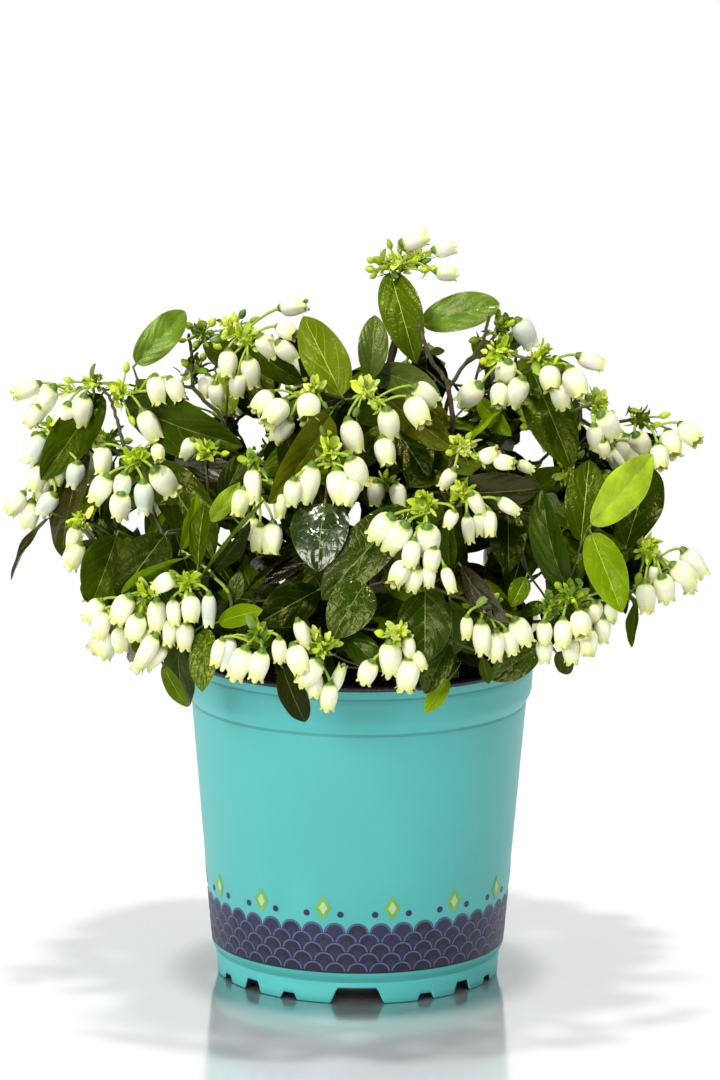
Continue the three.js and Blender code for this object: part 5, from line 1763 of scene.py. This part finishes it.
def glow_material(name, strength):
    m = bpy.data.materials.new(name)
    m.use_nodes = True
    nt = m.node_tree
    nt.nodes.clear()
    out = nt.nodes.new("ShaderNodeOutputMaterial")
    emit = nt.nodes.new("ShaderNodeEmission")
    emit.inputs["Color"].default_value = (1, 1, 1, 1)
    emit.inputs["Strength"].default_value = strength
    nt.links.new(emit.outputs[0], out.inputs["Surface"])
    return m


_xs = np.linspace(-6, 6, 13)
_fv = [(x, y, -0.0002) for y in _xs for x in _xs]
floor = stage_object("floor", _fv, grid_faces(13, 13).tolist(), floor_material())
# a white tent all round, which only the camera sees, so that it leaves the light as it is
_ring = [(7 * math.cos(a), 7 * math.sin(a)) for a in np.linspace(0, 2 * math.pi, 48, endpoint=False)]
_tv = [(x * math.cos(e), y * math.cos(e), 7 * math.sin(e) - 0.05) for e in np.linspace(0, math.pi / 2 * 0.98, 12) for x, y in _ring]
tent = stage_object("tent", _tv, grid_faces(12, 48, True).tolist(), glow_material("tent", 1.05))
tent.visible_diffuse = False
tent.visible_glossy = False
tent.visible_transmission = False
tent.visible_shadow = False
# the same tent again, seen in the floor's gloss alone
mirrored = stage_object("mirrored_tent", _tv, grid_faces(12, 48, True).tolist(), glow_material("mirrored_tent", 1.0))
mirrored.visible_camera = False
mirrored.visible_diffuse = False
mirrored.visible_transmission = False
mirrored.visible_shadow = False
world = bpy.data.worlds.new("studio")
world.use_nodes = True
world.node_tree.nodes["Background"].inputs["Color"].default_value = (1.0, 1.0, 1.0, 1)
world.node_tree.nodes["Background"].inputs["Strength"].default_value = 0.22
scene.world = world
world.cycles_visibility.glossy = False      # gloss comes from the lamps, so that leaves keep their own depth of colour


def aim(obj, target):
    from mathutils import Vector
    d = Vector(target) - obj.location
    obj.rotation_euler = d.to_track_quat("-Z", "Y").to_euler()


def area(name, where, size, power, colour=(1, 1, 1), target=(0, 0, 0.15)):
    light = bpy.data.lights.new(name, "AREA")
    light.shape = "RECTANGLE"
    light.size, light.size_y = size
    light.energy = power
    light.color = colour
    o = bpy.data.objects.new(name, light)
    o.location = where
    scene.collection.objects.link(o)
    aim(o, target)
    return o


def sun(name, azimuth, elevation, strength, angle, colour=(1, 1, 1)):
    """A distant lamp; azimuth is from the camera's side, + to the right."""
    light = bpy.data.lights.new(name, "SUN")
    light.energy = strength
    light.angle = math.radians(angle)
    light.color = colour
    o = bpy.data.objects.new(name, light)
    a, e = math.radians(azimuth), math.radians(elevation)
    o.location = (2 * math.sin(a) * math.cos(e), -2 * math.cos(a) * math.cos(e), 2 * math.sin(e))
    scene.collection.objects.link(o)
    aim(o, (0, 0, 0))
    return o


lamps = [
    sun("key", -28, 22, 1.75, 20),
    sun("top", -14, 70, 2.3, 5, (1.0, 0.99, 0.95)),
    sun("fill_back", 155, 34, 0.6, 40),
    area("softbox_right", (1.3, 0.9, 0.9), (0.5, 1.1), 3.4, (1, 1, 1)),
    area("softbox_left", (-1.4, 0.3, 0.8), (0.5, 1.1), 4, (1, 1, 1)),
    area("gloss_front", (-0.62, -1.55, 0.52), (0.75, 0.75), 9.0, (1.0, 1.0, 0.97)),
]
lamps[-1].visible_diffuse = False            # only adds sheen
lamps[-1].visible_transmission = False


def group(name, objects):
    c = bpy.data.collections.new(name)
    for o in objects:
        c.objects.link(o)
    return c


# the object's lamps leave the floor alone; the floor has an even light that only the pot blocks, and one the whole plant blocks
whole = group("object_lit", [o for pieces in made.values() for o in pieces])
ground = group("floor_lit", [floor])
pot_only = group("pot_blocks", made["pot_shell"] + made["pot_foot"] + made["pot_base"])
for lamp in lamps:
    lamp.light_linking.receiver_collection = whole
even = sun("floor_even", 180, 88, 1.45, 8)
even.light_linking.receiver_collection = ground
even.light_linking.blocker_collection = pot_only
dappled = sun("floor_dappled", 180, 88, 1.45, 5)
dappled.light_linking.receiver_collection = ground
mirrored.light_linking.receiver_collection = ground

cam_data = bpy.data.cameras.new("camera")
cam_data.sensor_fit = "VERTICAL"
cam_data.sensor_height = 36.0
cam_data.lens = 36.0 * FOCAL_PX / 1080.0
cam_data.clip_start = 0.05
cam_data.clip_end = 50.0
cam = bpy.data.objects.new("camera", cam_data)
from mathutils import Matrix
back = -FWD
cam.matrix_world = Matrix(((RIGHT[0], UP[0], back[0], CAM[0] * MM), (RIGHT[1], UP[1], back[1], CAM[1] * MM),
                           (RIGHT[2], UP[2], back[2], CAM[2] * MM), (0, 0, 0, 1)))
scene.collection.objects.link(cam)
scene.camera = cam
scene.view_settings.view_transform = "Standard"
scene.view_settings.look = "None"

print("flowers", flower_count, {k: sum(sum(len(p.vertices) - 2 for p in o.data.polygons) for o in v) for k, v in made.items()})
